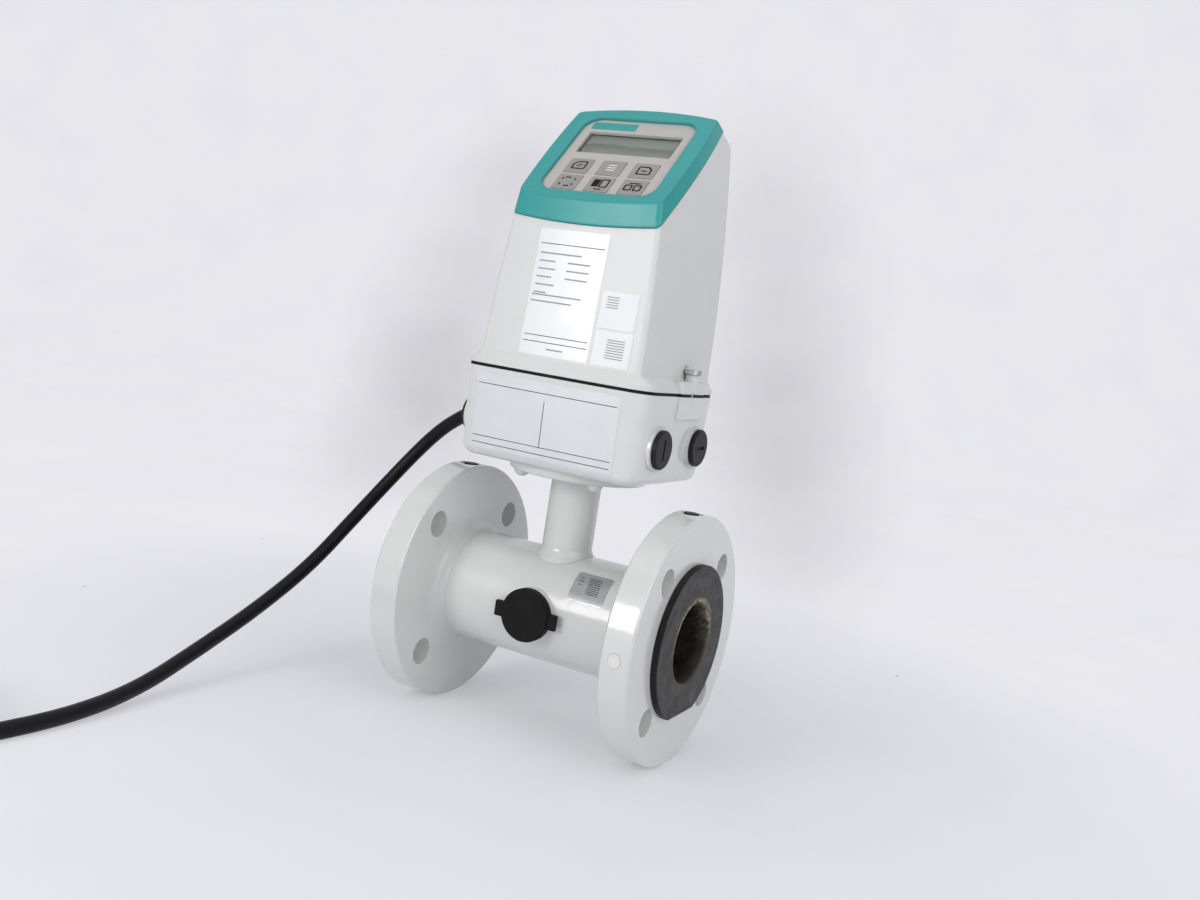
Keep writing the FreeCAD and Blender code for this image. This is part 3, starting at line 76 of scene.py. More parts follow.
# ---- camera ----------------------------------------------------------------------------
def make_camera():
    """Stands in front and to the right, a little above the flow tube, rolled to one side."""
    data = bpy.data.cameras.new("camera")
    data.sensor_width = CAMERA_SENSOR
    data.lens = CAMERA_LENS
    data.clip_start = 0.01
    camera = bpy.data.objects.new("camera", data)
    scene.collection.objects.link(camera)
    turn = Matrix((CAMERA_RIGHT, CAMERA_UP, CAMERA_RIGHT.cross(CAMERA_UP))).transposed().to_4x4()
    camera.matrix_world = Matrix.Translation(CAMERA_PLACE) @ turn
    scene.camera = camera


make_camera()


# ---- material nodes --------------------------------------------------------------------
class Shader:
    """One material's node tree, with short names for the nodes used here."""

    def __init__(self, name, color=(0.8, 0.8, 0.8), roughness=0.5, metallic=0.0, **sockets):
        self.material = bpy.data.materials.new(name)
        self.material.use_nodes = True
        self.tree = self.material.node_tree
        self.bsdf = self.tree.nodes["Principled BSDF"]
        self.bsdf.inputs["Base Color"].default_value = (*color, 1)
        self.bsdf.inputs["Roughness"].default_value = roughness
        self.bsdf.inputs["Metallic"].default_value = metallic
        for key, value in sockets.items():
            self.bsdf.inputs[key.replace("_", " ")].default_value = value
        self.place = self.node("ShaderNodeTexCoord").outputs["Object"]

    def node(self, kind, **settings):
        made = self.tree.nodes.new(kind)
        for key, value in settings.items():
            setattr(made, key, value)
        return made

    def feed(self, socket, value):
        if isinstance(value, bpy.types.NodeSocket):
            self.tree.links.new(value, socket)
        elif value is not None:
            socket.default_value = value

    def stretch(self, x, y, z):
        """Object coordinates scaled on each axis."""
        made = self.node("ShaderNodeVectorMath", operation="MULTIPLY")
        self.feed(made.inputs[0], self.place)
        made.inputs[1].default_value = (x, y, z)
        return made.outputs[0]

    def noise(self, scale, detail=4.0, roughness=0.55, place=None, distortion=0.0):
        made = self.node("ShaderNodeTexNoise")
        self.feed(made.inputs["Vector"], place or self.place)
        made.inputs["Scale"].default_value = scale
        made.inputs["Detail"].default_value = detail
        made.inputs["Roughness"].default_value = roughness
        made.inputs["Distortion"].default_value = distortion
        return made.outputs["Fac"]

    def cells(self, scale, place=None):
        made = self.node("ShaderNodeTexVoronoi")
        self.feed(made.inputs["Vector"], place or self.place)
        made.inputs["Scale"].default_value = scale
        return made.outputs["Distance"]

    def math(self, operation, a, b=None):
        made = self.node("ShaderNodeMath", operation=operation)
        self.feed(made.inputs[0], a)
        self.feed(made.inputs[1], b)
        return made.outputs[0]

    def scale_range(self, value, low, high, out_low=0.0, out_high=1.0):
        """Maps low..high onto out_low..out_high and holds it there."""
        made = self.node("ShaderNodeMapRange")
        made.clamp = True
        self.feed(made.inputs["Value"], value)
        made.inputs["From Min"].default_value = low
        made.inputs["From Max"].default_value = high
        made.inputs["To Min"].default_value = out_low
        made.inputs["To Max"].default_value = out_high
        return made.outputs["Result"]

    def mix(self, factor, a, b):
        made = self.node("ShaderNodeMix", data_type="RGBA")
        self.feed(made.inputs["Factor"], factor)
        for socket, value in ((made.inputs["A"], a), (made.inputs["B"], b)):
            self.feed(socket, (*value, 1) if isinstance(value, tuple) else value)
        return made.outputs["Result"]

    def axis(self, index):
        made = self.node("ShaderNodeSeparateXYZ")
        self.feed(made.inputs[0], self.place)
        return made.outputs[index]

    def radius_about_x(self):
        """Distance from the pipe's axis, in metres."""
        y, z = self.axis(1), self.axis(2)
        squares = self.math("ADD", self.math("MULTIPLY", y, y), self.math("MULTIPLY", z, z))
        return self.math("SQRT", squares)

    def bump(self, height, strength, distance, below=None):
        made = self.node("ShaderNodeBump")
        made.inputs["Strength"].default_value = strength
        made.inputs["Distance"].default_value = distance
        self.feed(made.inputs["Height"], height)
        if below:
            self.feed(made.inputs["Normal"], below)
        return made.outputs["Normal"]

    def rounded(self, radius):
        """Normal of the surface with its edges softened, radius in metres."""
        made = self.node("ShaderNodeBevel", samples=4)
        made.inputs["Radius"].default_value = radius
        return made.outputs["Normal"]

    def set(self, **values):
        for key, value in values.items():
            self.feed(self.bsdf.inputs[key.replace("_", " ")], value)
        return self


# ---- materials -------------------------------------------------------------------------
def paint(name, color, dirt=0.12):
    """Thick glossy stove paint on steel: slight orange peel, faint handling marks, a few dark specks."""
    s = Shader(name, color, 0.26, Coat_Weight=0.55, Coat_Roughness=0.035)
    cloud = s.scale_range(s.noise(7, 3), 0.35, 0.75)
    tint = tuple(c * f for c, f in zip(color, (0.94, 0.93, 0.91)))
    base = s.mix(s.math("MULTIPLY", cloud, dirt), color, tint)
    grime = s.scale_range(s.noise(60, 8, 0.7, distortion=0.4), 0.70, 0.90)
    base = s.mix(s.math("MULTIPLY", grime, 0.08), base, tuple(c * 0.78 for c in color))
    specks = s.scale_range(s.cells(95), 0.065, 0.030)
    where = s.scale_range(s.noise(22, 2), 0.64, 0.66)
    base = s.mix(s.math("MULTIPLY", specks, where), base, (0.09, 0.065, 0.045))
    peel = s.bump(s.noise(300, 2), 0.15, 0.0006, s.rounded(0.0007))
    waves = s.bump(s.noise(38, 1), 0.03, 0.0016, peel)
    rough = s.scale_range(s.noise(14, 2), 0.35, 0.8, 0.23, 0.28)
    return s.set(Base_Color=base, Roughness=rough, Normal=waves, Coat_Normal=waves).material


def moulded(name, color, roughness, grain=900, depth=0.10, shade=0.90, edge=0.0, sheen=0.5):
    """Moulded plastic: fine spark-eroded grain, slightly uneven tone and gloss."""
    s = Shader(name, color, roughness, Specular_IOR_Level=sheen)
    cloud = s.scale_range(s.noise(14, 5), 0.3, 0.75)
    base = s.mix(cloud, color, tuple(c * shade for c in color))
    marks = s.scale_range(s.noise(35, 9, 0.72, distortion=1.2), 0.66, 0.80)
    base = s.mix(s.math("MULTIPLY", marks, 0.15), base, tuple(c * 0.8 for c in color))
    rough = s.scale_range(s.noise(30, 3), 0.3, 0.8, roughness - 0.02, roughness + 0.05)
    grained = s.bump(s.noise(grain, 3), depth, 0.0004, s.rounded(edge) if edge else None)
    return s.set(Base_Color=base, Roughness=rough, Normal=grained).material


def rubber(name, color, roughness=0.6, dust=0.25):
    """Black rubber: soft sheen, patchy dust, faint flow marks."""
    s = Shader(name, color, roughness, Specular_IOR_Level=0.18)
    film = s.scale_range(s.noise(55, 8, 0.65), 0.45, 0.80)
    grey = tuple(c * 0.6 + 0.05 for c in color)
    base = s.mix(s.math("MULTIPLY", film, dust), color, grey)
    rough = s.scale_range(s.noise(120, 5), 0.3, 0.8, roughness - 0.12, roughness + 0.12)
    grained = s.bump(s.noise(1400, 2), 0.15, 0.0003, s.rounded(0.0006))
    return s.set(Base_Color=base, Roughness=rough, Normal=grained).material


def bare_metal(name, color, roughness=0.32):
    """Turned or rolled metal with fine brushing and dull patches."""
    s = Shader(name, color, roughness, 1.0)
    lines = s.noise(90, 6, 0.7, place=s.stretch(1.0, 12.0, 12.0))
    dull = s.scale_range(s.noise(160, 6), 0.4, 0.75)
    base = s.mix(dull, color, tuple(c * 0.68 for c in color))
    rough = s.scale_range(lines, 0.3, 0.7, roughness - 0.10, roughness + 0.16)
    return s.set(Base_Color=base, Roughness=rough, Normal=s.bump(lines, 0.12, 0.0003)).material


PAINT = (0.680, 0.682, 0.665)
M = {
    "flange": paint("flange_paint", PAINT),
    "body": paint("body_paint", PAINT, 0.08),
    "head": moulded("head_plastic", (0.70, 0.70, 0.685), 0.38, 500, 0.06, 0.97, 0.0008),
    "teal": moulded("teal_plastic", (0.019, 0.325, 0.315), 0.35, 500, 0.05, 0.95, 0.0018, 0.60),
    "panel": moulded("panel_film", (0.50, 0.475, 0.44), 0.42, 1200, 0.10, 0.95),
    "key": moulded("key_cap", (0.34, 0.325, 0.30), 0.5, 1200, 0.12, 0.90, 0.0005, 0.3),
    "black": moulded("black_plastic", (0.012, 0.012, 0.0145), 0.46, 800, 0.14, 0.70, 0.0005, 0.22),
    "white": moulded("white_plastic", (0.78, 0.775, 0.74), 0.35, 700, 0.05, 0.95),
    "insulator": moulded("insulator", (0.70, 0.68, 0.62), 0.45),
    "board": moulded("circuit_board", (0.015, 0.11, 0.045), 0.35, 600, 0.20, 0.75),
    "terminal": moulded("terminal_green", (0.03, 0.22, 0.07), 0.42, 700, 0.10, 0.85),
    "rubber": rubber("black_rubber", (0.0045, 0.0045, 0.005), 0.60, 0.04),
    "sheath": rubber("cable_sheath", (0.007, 0.007, 0.0075), 0.40, 0.05),
    "steel": bare_metal("steel", (0.56, 0.56, 0.55)),
    "copper": bare_metal("copper", (0.60, 0.30, 0.16), 0.40),
    "iron": bare_metal("laminated_iron", (0.22, 0.21, 0.20), 0.55),
}


def liner_material():
    """Hard rubber: turned grey face with a black edge, pale crust round the mouth, dark brown bore."""
    rim, stained, crusted, bore = 0.0503, 0.0395, 0.0350, 0.0268    # radii where each zone starts
    s = Shader("liner_rubber", (0.05, 0.05, 0.052), 0.55, Specular_IOR_Level=0.3)
    radius = s.radius_about_x()
    scuffs = s.scale_range(s.noise(38, 9, 0.75, distortion=1.5), 0.52, 0.74)
    face = s.mix(scuffs, (0.034, 0.033, 0.035), (0.070, 0.068, 0.067))
    rings = s.node("ShaderNodeTexNoise", noise_dimensions="1D")
    s.feed(rings.inputs["W"], radius)
    rings.inputs["Scale"].default_value = 900
    face = s.mix(s.scale_range(rings.outputs["Fac"], 0.45, 0.75, 0.0, 0.6), face, (0.085, 0.083, 0.080))
    face = s.mix(s.scale_range(radius, rim, rim + 0.0005), face, (0.010, 0.009, 0.009))
    ragged = s.math("ADD", radius, s.math("MULTIPLY", s.noise(170, 8, 0.75), 0.008))
    stain = s.scale_range(ragged, stained, stained - 0.0040)
    face = s.mix(s.math("MULTIPLY", stain, 0.75), face, (0.060, 0.048, 0.036))
    upper = s.scale_range(s.axis(2), -0.006, 0.016)
    crumbs = s.scale_range(s.noise(340, 6, 0.8), 0.45, 0.53)
    crumbs = s.math("MULTIPLY", upper, crumbs)
    crust = s.math("MULTIPLY", s.scale_range(ragged, crusted, crusted - 0.0015), crumbs)
    face = s.mix(crust, face, (0.40, 0.35, 0.24))
    inside = s.scale_range(radius, bore, bore - 0.0010)
    rust = s.scale_range(s.noise(90, 8, 0.75), 0.45, 0.75)
    brown = s.mix(rust, (0.007, 0.005, 0.0035), (0.050, 0.030, 0.015))
    by_the_mouth = s.scale_range(s.axis(0), 0.086, 0.098)
    flakes = s.math("MULTIPLY", s.scale_range(s.noise(420, 5, 0.8), 0.56, 0.61), by_the_mouth)
    brown = s.mix(s.math("MULTIPLY", flakes, upper), brown, (0.30, 0.25, 0.15))
    base = s.mix(inside, face, brown)
    rough = s.scale_range(s.noise(90, 6), 0.3, 0.8, 0.42, 0.75)
    pits = s.bump(s.noise(260, 6, 0.7), 0.25, 0.0006)
    turned = s.bump(rings.outputs["Fac"], 0.25, 0.0003, pits)
    crumbled = s.bump(crust, 0.6, 0.0010, turned)
    return s.set(Base_Color=base, Roughness=rough, Normal=crumbled).material


def display_material():
    """Unlit liquid crystal cell: grey-green, paler towards its lower edge, with painted shade from the
    window's edge darkening its upper part.
    """
    s = Shader("display_cell", (0.15, 0.17, 0.135), 0.25)
    low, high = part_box("display_module")
    # Painted shade: darker towards the top, where the window's edge shades the cell.
    painted_shade_rise = s.scale_range(s.axis(2), low[2], high[2])
    base = s.mix(painted_shade_rise, (0.80, 0.83, 0.71), (0.54, 0.58, 0.52))
    rows = s.scale_range(s.noise(20, 3), 0.35, 0.7, 0.2, 0.3)
    return s.set(Base_Color=base, Roughness=rows, Normal=s.bump(s.noise(700, 2), 0.05, 0.0002)).material


def window_material():
    """Clear display window with faint smears."""
    s = Shader("display_window", (0.92, 0.95, 0.93), 0.04, Transmission_Weight=1.0, IOR=1.35)
    smear = s.scale_range(s.noise(60, 6), 0.45, 0.8, 0.03, 0.14)
    return s.set(Roughness=smear).material


M["liner"] = liner_material()
M["display"] = display_material()
M["window"] = window_material()

NODE_MATERIALS = {
    "flange": ("flange_inlet", "flange_outlet"),
    "body": ("outer_tube", "neck_tube", "neck_plate", "neck_screws", "terminal_box", "cap_seat_front",
             "cap_seat_back"),
    "steel": ("measuring_tube", "electrode_front", "electrode_back", "ground_electrodes", "electrode_nuts",
              "captive_screw_outlet", "captive_screw_inlet"),
    "liner": ("liner",),
    "copper": ("field_coil_upper", "field_coil_lower"),
    "iron": ("pole_core_upper", "pole_core_lower", "power_module"),
    "insulator": ("electrode_insulators",),
    "rubber": ("electrode_cap_front", "electrode_cap_back", "terminal_gasket", "plug_seals", "gland_seal"),
    "black": ("rim_plugs_top", "memory_unit", "connector_socket", "blind_plug_outlet_front",
              "blind_plug_outlet_back", "blind_plug_inlet_front", "gland_body", "gland_nut", "head_base",
              "head_connector", "sensor_leads"),
    "white": ("rim_plug_side",),
    "board": ("connection_board", "key_board", "main_board"),
    "terminal": ("terminals_supply", "terminals_output"),
    "sheath": ("cable_stub",),
    "head": ("head_housing",),
    "teal": ("bezel",),
    "panel": ("keypad_panel",),
    "key": ("key_1", "key_2", "key_3", "key_4", "key_5", "key_6"),
    "window": ("display_window",),
    "display": ("display_module",),
}


def dress_nodes():
    """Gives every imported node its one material."""
    for key, names in NODE_MATERIALS.items():
        for name in names:
            mesh = NODES[name].data
            mesh.materials.clear()
            mesh.materials.append(M[key])


dress_nodes()


# ---- supply cable ----------------------------------------------------------------------
CABLE_D = 10.0
# Along the cable in mm: out of the gland, down to the floor and away to the coil.
ROUTE = [
    (-86, 29, 121.5),
    (-96, 30, 121),
    (-108, 33, 117.5),
    (-122, 36, 110),
    (-139, 37, 98),
    (-156, 35, 79),
    (-173, 26, 52),
    (-187, 6, 20),
    (-196, -26, -15),
    (-200, -72, -42),
    (-198, -124, -61),
    (-190, -180, -75),
    (-183, -235, -77.5),
    (-188, -290, -77.5),
    (-194.5, -332, -77.5),
]
TURN_POINTS = 16
STEP_POINTS = 4    # points in which one turn passes over into the next
CORE_COLOURS = ((0.16, 0.06, 0.03), (0.03, 0.09, 0.32), (0.35, 0.42, 0.03))
CORE_D, CORE_PITCH, CORE_SPREAD = 2.4, 2.7, 3.5
CORE_TUCK, CORE_LENGTH, CORE_HANDLE = 1.0, 18.0, 6.0
FERRULE_ROOT, FERRULE_TIP, FERRULE_LENGTH, FERRULE_MIDDLE = 1.1, 0.9, 9.0, 4.4


def coil_points():
    """Four turns: outer and inner on the floor, then inner and outer on top of them."""
    low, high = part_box("cable_coil")
    centre_x, centre_y = (low[0] + high[0]) / 2 / MM, (low[1] + high[1]) / 2 / MM
    floor = FLOOR_Z / MM + CABLE_D / 2
    outer = (high[0] - low[0]) / 2 / MM - CABLE_D / 2
    inner = outer - CABLE_D
    widen = 1 / math.cos(math.pi / TURN_POINTS) ** 0.66    # the spline runs inside its points
    turns = [(outer, floor), (inner, floor), (inner, floor + CABLE_D), (outer, floor + CABLE_D)]
    start = math.atan2(ROUTE[-1][1] - centre_y, ROUTE[-1][0] - centre_x)
    points = []
    for number, (radius, height) in enumerate(turns):
        for k in range(TURN_POINTS):
            blend = min(1.0, k / STEP_POINTS)
            before = turns[number - 1] if number else turns[0]
            r = (before[0] + (radius - before[0]) * blend) * widen
            z = before[1] + (height - before[1]) * blend
            angle = start - 2 * math.pi * (k + 1) / TURN_POINTS
            points.append((centre_x + r * math.cos(angle), centre_y + r * math.sin(angle), z))
    return points


def make_cable():
    """The whole cable as one tube along one spline."""
    points = ROUTE + coil_points()
    curve = bpy.data.curves.new("supply_cable_run", "CURVE")
    curve.dimensions = "3D"
    curve.bevel_depth = CABLE_D / 2 * MM
    curve.bevel_resolution = 7
    curve.resolution_u = 8
    curve.use_fill_caps = True
    spline = curve.splines.new("NURBS")
    spline.points.add(len(points) - 1)
    for target, point in zip(spline.points, points):
        target.co = (point[0] * MM, point[1] * MM, point[2] * MM, 1)
    spline.order_u = 3
    spline.use_endpoint_u = True
    cable = add_object("supply_cable_run", curve, SENSOR, M["sheath"])
    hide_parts("supply_cable", "cable_coil")
    return cable, points


def make_cores(points):
    """Three stripped cores with ferrules at the cable's free end."""
    end, before = Vector(points[-1]) * MM, Vector(points[-2]) * MM
    heading = (end - before).normalized()
    side = heading.cross(Vector((0, 0, 1))).normalized()
    pieces = []
    for k, colour in enumerate(CORE_COLOURS):
        s = Shader("core_%d" % (k + 1), colour, 0.4)
        s.set(Normal=s.bump(s.noise(900, 2), 0.1, 0.0003))
        offset = side * (k - 1) * CORE_PITCH * MM
        spread = side * (k - 1) * CORE_SPREAD * MM
        curve = bpy.data.curves.new("cable_core_%d" % (k + 1), "CURVE")
        curve.dimensions = "3D"
        curve.bevel_depth = CORE_D / 2 * MM
        curve.bevel_resolution = 3
        curve.use_fill_caps = True
        spline = curve.splines.new("BEZIER")
        spline.bezier_points.add(1)
        tip = end + offset + spread + heading * CORE_LENGTH * MM
        for target, place in zip(spline.bezier_points, (end + offset * 0.6 - heading * CORE_TUCK * MM, tip)):
            target.co = place
            target.handle_left = place - heading * CORE_HANDLE * MM
            target.handle_right = place + heading * CORE_HANDLE * MM
        core = add_object("cable_core_%d" % (k + 1), curve, SENSOR, s.material)
        pieces.append(core)
        pieces.append(make_ferrule(k, tip, heading))
    return pieces


def make_ferrule(number, place, heading):
    bm = bmesh.new()
    bmesh.ops.create_cone(bm, cap_ends=True, segments=20, radius1=FERRULE_ROOT * MM,
                          radius2=FERRULE_TIP * MM, depth=FERRULE_LENGTH * MM)
    mesh = bpy.data.meshes.new("ferrule")
    bm.to_mesh(mesh)
    bm.free()
    mesh.shade_smooth()
    turn = heading.to_track_quat("Z", "Y").to_matrix().to_4x4()
    mesh.transform(Matrix.Translation(place + heading * FERRULE_MIDDLE * MM) @ turn)
    return add_object("cable_ferrule_%d" % (number + 1), mesh, SENSOR, M["steel"])


cable, cable_points = make_cable()
cores = make_cores(cable_points)


# ---- plates and marks ------------------------------------------------------------------
# All in mm: how far each lies proud of its surface, how wide the strokes are, and where the keys are.
PLATE_LIFT, FOIL_LIFT, PRINT_LIFT, FOIL_PRINT_LIFT, BLOCK_LIFT = 0.15, 0.12, 0.20, 0.18, 0.10
RULE, LINE, FINE_LINE, FOIL_LINE, KEY_STROKE = 0.45, 0.9, 0.6, 0.75, 1.05
SLOPE_MIDDLE_Y, SLOPE_MIDDLE_Z = -20, 290
KEY_ROWS = (2.4, -15.1)


def foil(name, color, roughness, metallic, grime=0.12):
    """Printed foil: slight ripple, fine scratches and handling marks."""
    s = Shader(name, color, roughness, metallic, Specular_IOR_Level=0.35)
    film = s.scale_range(s.noise(40, 8, 0.7, distortion=0.8), 0.50, 0.80)
    base = s.mix(s.math("MULTIPLY", film, grime * 3), color, tuple(c * 0.80 for c in color))
    scratch = s.scale_range(s.noise(260, 4, 0.8, place=s.stretch(0.25, 1.0, 1.0)), 0.70, 0.74)
    base = s.mix(s.math("MULTIPLY", scratch, grime), base, tuple(c * 0.55 for c in color))
    rough = s.scale_range(s.noise(80, 5), 0.3, 0.8, roughness - 0.06, roughness + 0.12)
    return s.set(Base_Color=base, Roughness=rough, Normal=s.bump(s.noise(45, 2), 0.10, 0.0010)).material


def surface_of(*names):
    """Ray-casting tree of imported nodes."""
    verts, faces = [], []
    for name in names:
        mesh = NODES[name].data
        start = len(verts)
        verts += [v.co.copy() for v in mesh.vertices]
        faces += [[start + i for i in p.vertices] for p in mesh.polygons]
    return BVHTree.FromPolygons(verts, faces)


class Surface:
    """Puts flat drawings, in mm, onto a surface of the part."""

    def __init__(self, names, place):
        self.tree = surface_of(*names)
        self.place = place

    def point(self, u, v, lift):
        """Where the drawing's point falls on the surface, in metres."""
        start, heading = self.place(u, v)
        hit, normal, _, _ = self.tree.ray_cast(start, heading)
        if normal.dot(heading) > 0:
            normal = -normal
        return hit - heading.normalized() * lift * MM

    def patch(self, name, u0, u1, v0, v1, lift, material, body, corner=0.0, step=2.0):
        """Sheet with rounded corners that follows the surface."""
        cols = max(2, int((u1 - u0) / step) + 1)
        rows = max(2, int((v1 - v0) / step) + 1)
        heights = [v0 + (v1 - v0) * k / (rows - 1) for k in range(rows)]
        if corner:
            turns = [corner * (1 - math.cos(math.pi / 2 * k / 5)) for k in range(6)]
            middle = [h for h in heights if v0 + corner < h < v1 - corner]
            heights = [v0 + t for t in turns] + middle + [v1 - t for t in reversed(turns)]
        verts = []
        for v in heights:
            near = corner - min(v - v0, v1 - v)
            inset = corner - math.sqrt(max(0.0, corner ** 2 - near ** 2)) if near > 0 else 0.0
            for k in range(cols):
                u = u0 + inset + (u1 - u0 - 2 * inset) * k / (cols - 1)
                verts.append(self.point(u, v, lift))
        faces = []
        for r in range(len(heights) - 1):
            for k in range(cols - 1):
                i = r * cols + k
                faces.append((i, i + 1, i + cols + 1, i + cols))
        return add_object(name, mesh_from(name, verts, faces, True), body, material)

    def strokes(self, name, lines, width, lift, material, body, step=2.0):
        """One mesh of straight rules, each from one point to another."""
        verts, faces = [], []
        for u0, v0, u1, v1 in lines:
            length = math.hypot(u1 - u0, v1 - v0)
            du, dv = (u1 - u0) / length, (v1 - v0) / length
            pieces = max(1, int(length / step))
            for k in range(pieces + 1):
                u, v = u0 + du * length * k / pieces, v0 + dv * length * k / pieces
                for side in (-0.5, 0.5):
                    verts.append(self.point(u - dv * width * side, v + du * width * side, lift))
                if k:
                    i = len(verts) - 4
                    faces.append((i, i + 2, i + 3, i + 1))
        return add_object(name, mesh_from(name, verts, faces), body, material)


def from_front(u, v):
    """u across and v up, in mm, seen square from the front."""
    return Vector((u * MM, -0.2, v * MM)), Vector((0, 1, 0))


def on_tube(u, v):
    """u along the pipe in mm, v in degrees above the front."""
    a = math.radians(v)
    out = Vector((0, -math.cos(a), math.sin(a)))
    return Vector((u * MM, 0, 0)) + out * 0.06, -out


def on_slope(u, v):
    """u across and v up the display face, in mm from its middle."""
    slant = math.sqrt(0.5)
    out = Vector((0, -slant, slant))
    start = Vector((u, SLOPE_MIDDLE_Y + v * slant, SLOPE_MIDDLE_Z + v * slant)) * MM + out * 0.03
    return start, -out


M["plate"] = foil("type_plate", (0.79, 0.79, 0.80), 0.38, 0.12, 0.06)
M["box_plate"] = foil("box_type_plate", (0.70, 0.72, 0.735), 0.34, 0.30, 0.10)
M["sticker"] = foil("white_sticker", (0.83, 0.83, 0.83), 0.45, 0.0, 0.04)
M["foil"] = foil("tube_foil", (0.50, 0.51, 0.52), 0.28, 0.65)
M["ink"] = moulded("printed_ink", (0.030, 0.030, 0.034), 0.6, 900, 0.05, 0.8, sheen=0.1)
M["faint_ink"] = moulded("faint_ink", (0.36, 0.36, 0.37), 0.6, 900, 0.05, 0.9, sheen=0.1)
M["key_ink"] = moulded("key_ink", (0.016, 0.015, 0.015), 0.6, 900, 0.05, 0.8, sheen=0.1)
M["key_light"] = moulded("key_light_ink", (0.80, 0.80, 0.78), 0.6, 900, 0.05, 0.9, sheen=0.2)


def make_head_plates():
    head = Surface(["head_housing"], from_front)
    head.patch("head_plate", -28, 22, 167.5, 247.5, PLATE_LIFT, M["plate"], HEAD)
    rules = [(-26, 238, 20, 238), (-26, 180, 20, 180), (-26, 176, 20, 176)]
    head.strokes("head_plate_rules", rules, RULE, PRINT_LIFT, M["ink"], HEAD)
    lines = [(-25, 232 - 5 * k, -25 + w, 232 - 5 * k) for k, w in enumerate((30, 12, 13, 11, 14, 9))]
    lines += [(-4, 227 - 5 * k, 12, 227 - 5 * k) for k in range(3)]
    lines += [(-26, 205.5, 10, 205.5), (-26, 201.5, 4, 201.5), (-8, 172, 4, 172)]
    head.strokes("head_plate_lines", lines, LINE, PRINT_LIFT, M["faint_ink"], HEAD)
    lines = [(28, 210 - 1.6 * k, 36, 210 - 1.6 * k) for k in range(5)]
    lines += [(33, 184 - 1.6 * k, 45, 184 - 1.6 * k) for k in range(8)]
    head.strokes("head_sticker_lines", lines, FINE_LINE, PRINT_LIFT, M["faint_ink"], HEAD)
    head.patch("head_sticker_upper", 24.3, 48.6, 190.6, 213.5, PLATE_LIFT, M["sticker"], HEAD)
    head.patch("head_sticker_lower", 24.3, 49.4, 167.5, 189.4, PLATE_LIFT, M["sticker"], HEAD)


def make_box_plate():
    box = Surface(["terminal_box"], from_front)
    box.patch("box_plate", -54, 51, 101, 151.5, PLATE_LIFT, M["box_plate"], SENSOR, corner=2.5)
    rules = [(-52, height, 49, height) for height in (144.5, 110.5, 106)] + [(-1.5, 140, -1.5, 110.5)]
    box.strokes("box_plate_rules", rules, RULE, PRINT_LIFT, M["ink"], SENSOR)


def make_tube_foil():
    tube = Surface(["outer_tube"], on_tube)
    tube.patch("tube_foil", 23.5, 49, 24, 57, FOIL_LIFT, M["foil"], SENSOR, corner=1.5)
    lines = [(33 + 0.2 * k, 51.5 - 2.2 * k, 42 + 0.2 * k, 51.5 - 2.2 * k) for k in range(9)]
    lines += [(27, 50, 29.5, 50), (27, 46, 30.5, 46), (27, 42, 29.5, 42)]
    tube.strokes("tube_foil_lines", lines, FOIL_LINE, FOIL_PRINT_LIFT, M["ink"], SENSOR)


def make_panel_badge():
    slope = Surface(["keypad_panel"], on_slope)
    slope.patch("panel_badge", -36, -2.5, 44.2, 51.8, FOIL_LIFT, M["teal"], HEAD, corner=0.6)


# Each key's strokes about its middle, in mm: from u, v to u, v.
KEY_MARKS = {
    "key_1": [(-4.5, -3, -4.5, 2), (-4.5, 2, -1, 4.5), (-1, 4.5, 4.5, 4.5), (4.5, 4.5, 4.5, -3),
              (4.5, -3, -4.5, -3), (1.5, 2, -1.5, -0.5)],
    "key_2": [(-3, -2, 3, -2), (-3, 0.5, 3, 0.5), (-3, 3, 3, 3)],
    "key_3": [(-4.5, -3.5, -4.5, 4), (-4.5, 4, 2, 4), (2, 4, 4.5, 1.5), (4.5, 1.5, 4.5, -3.5),
              (4.5, -3.5, -4.5, -3.5), (2, 0, -2, 0)],
    "key_4": [(-4.5, 2, -4.5, 4), (-3, 4.5, 1, 4.5), (4.5, 4, 4.5, 2), (-4.5, -1.5, -4.5, -4),
              (3, -4.2, -1, -4.2), (4.5, -1.5, 4.5, -3.5)],
    "key_5": [(0.5, 5, 5.5, 5), (5.5, 5, 5.5, -2.5), (5.5, -2.5, 0.5, -2.5), (0.5, -2.5, 0.5, 5),
              (-2, -5, 3, -5)],
    "key_6": [(-5.5, -3, -5.5, 2), (-5.5, 2, -1, 2), (-1, 2, -1, -3), (-1, -3, -5.5, -3), (1, -3, 1, 2),
              (1, 2, 5.5, 2), (5.5, 2, 5.5, -3), (5.5, -3, 1, -3), (-4, 4, 4, 4)],
}


def make_key_marks():
    """Plain strokes on the keys, each riding on its own key."""
    for number, (name, lines) in enumerate(KEY_MARKS.items()):
        low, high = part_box(name)
        u0 = (low[0] + high[0]) / 2 / MM
        surface = Surface([name], on_slope)
        v0 = KEY_ROWS[number // 3]
        moved = [(u0 + a, v0 + b, u0 + c, v0 + d) for a, b, c, d in lines]
        ink = M["key_light"] if name == "key_2" else M["key_ink"]
        surface.strokes(name + "_mark", moved, KEY_STROKE, FOIL_LIFT, ink, name)
        if name == "key_5":
            surface.patch(name + "_block", u0 - 5.5, u0 - 0.5, v0 - 2.5, v0 + 5, BLOCK_LIFT, ink, name)


make_head_plates()
make_box_plate()
make_tube_foil()
make_panel_badge()
make_key_marks()


# ---- floor, backdrop and light ---------------------------------------------------------
FLOOR_BACK, FLOOR_REACH, SWEEP_RADIUS, SWEEP_STEPS = -4.0, 2.2, 1.2, 24
WALL_TOP, STAGE_HALF_WIDTH = 5.0, 6.0
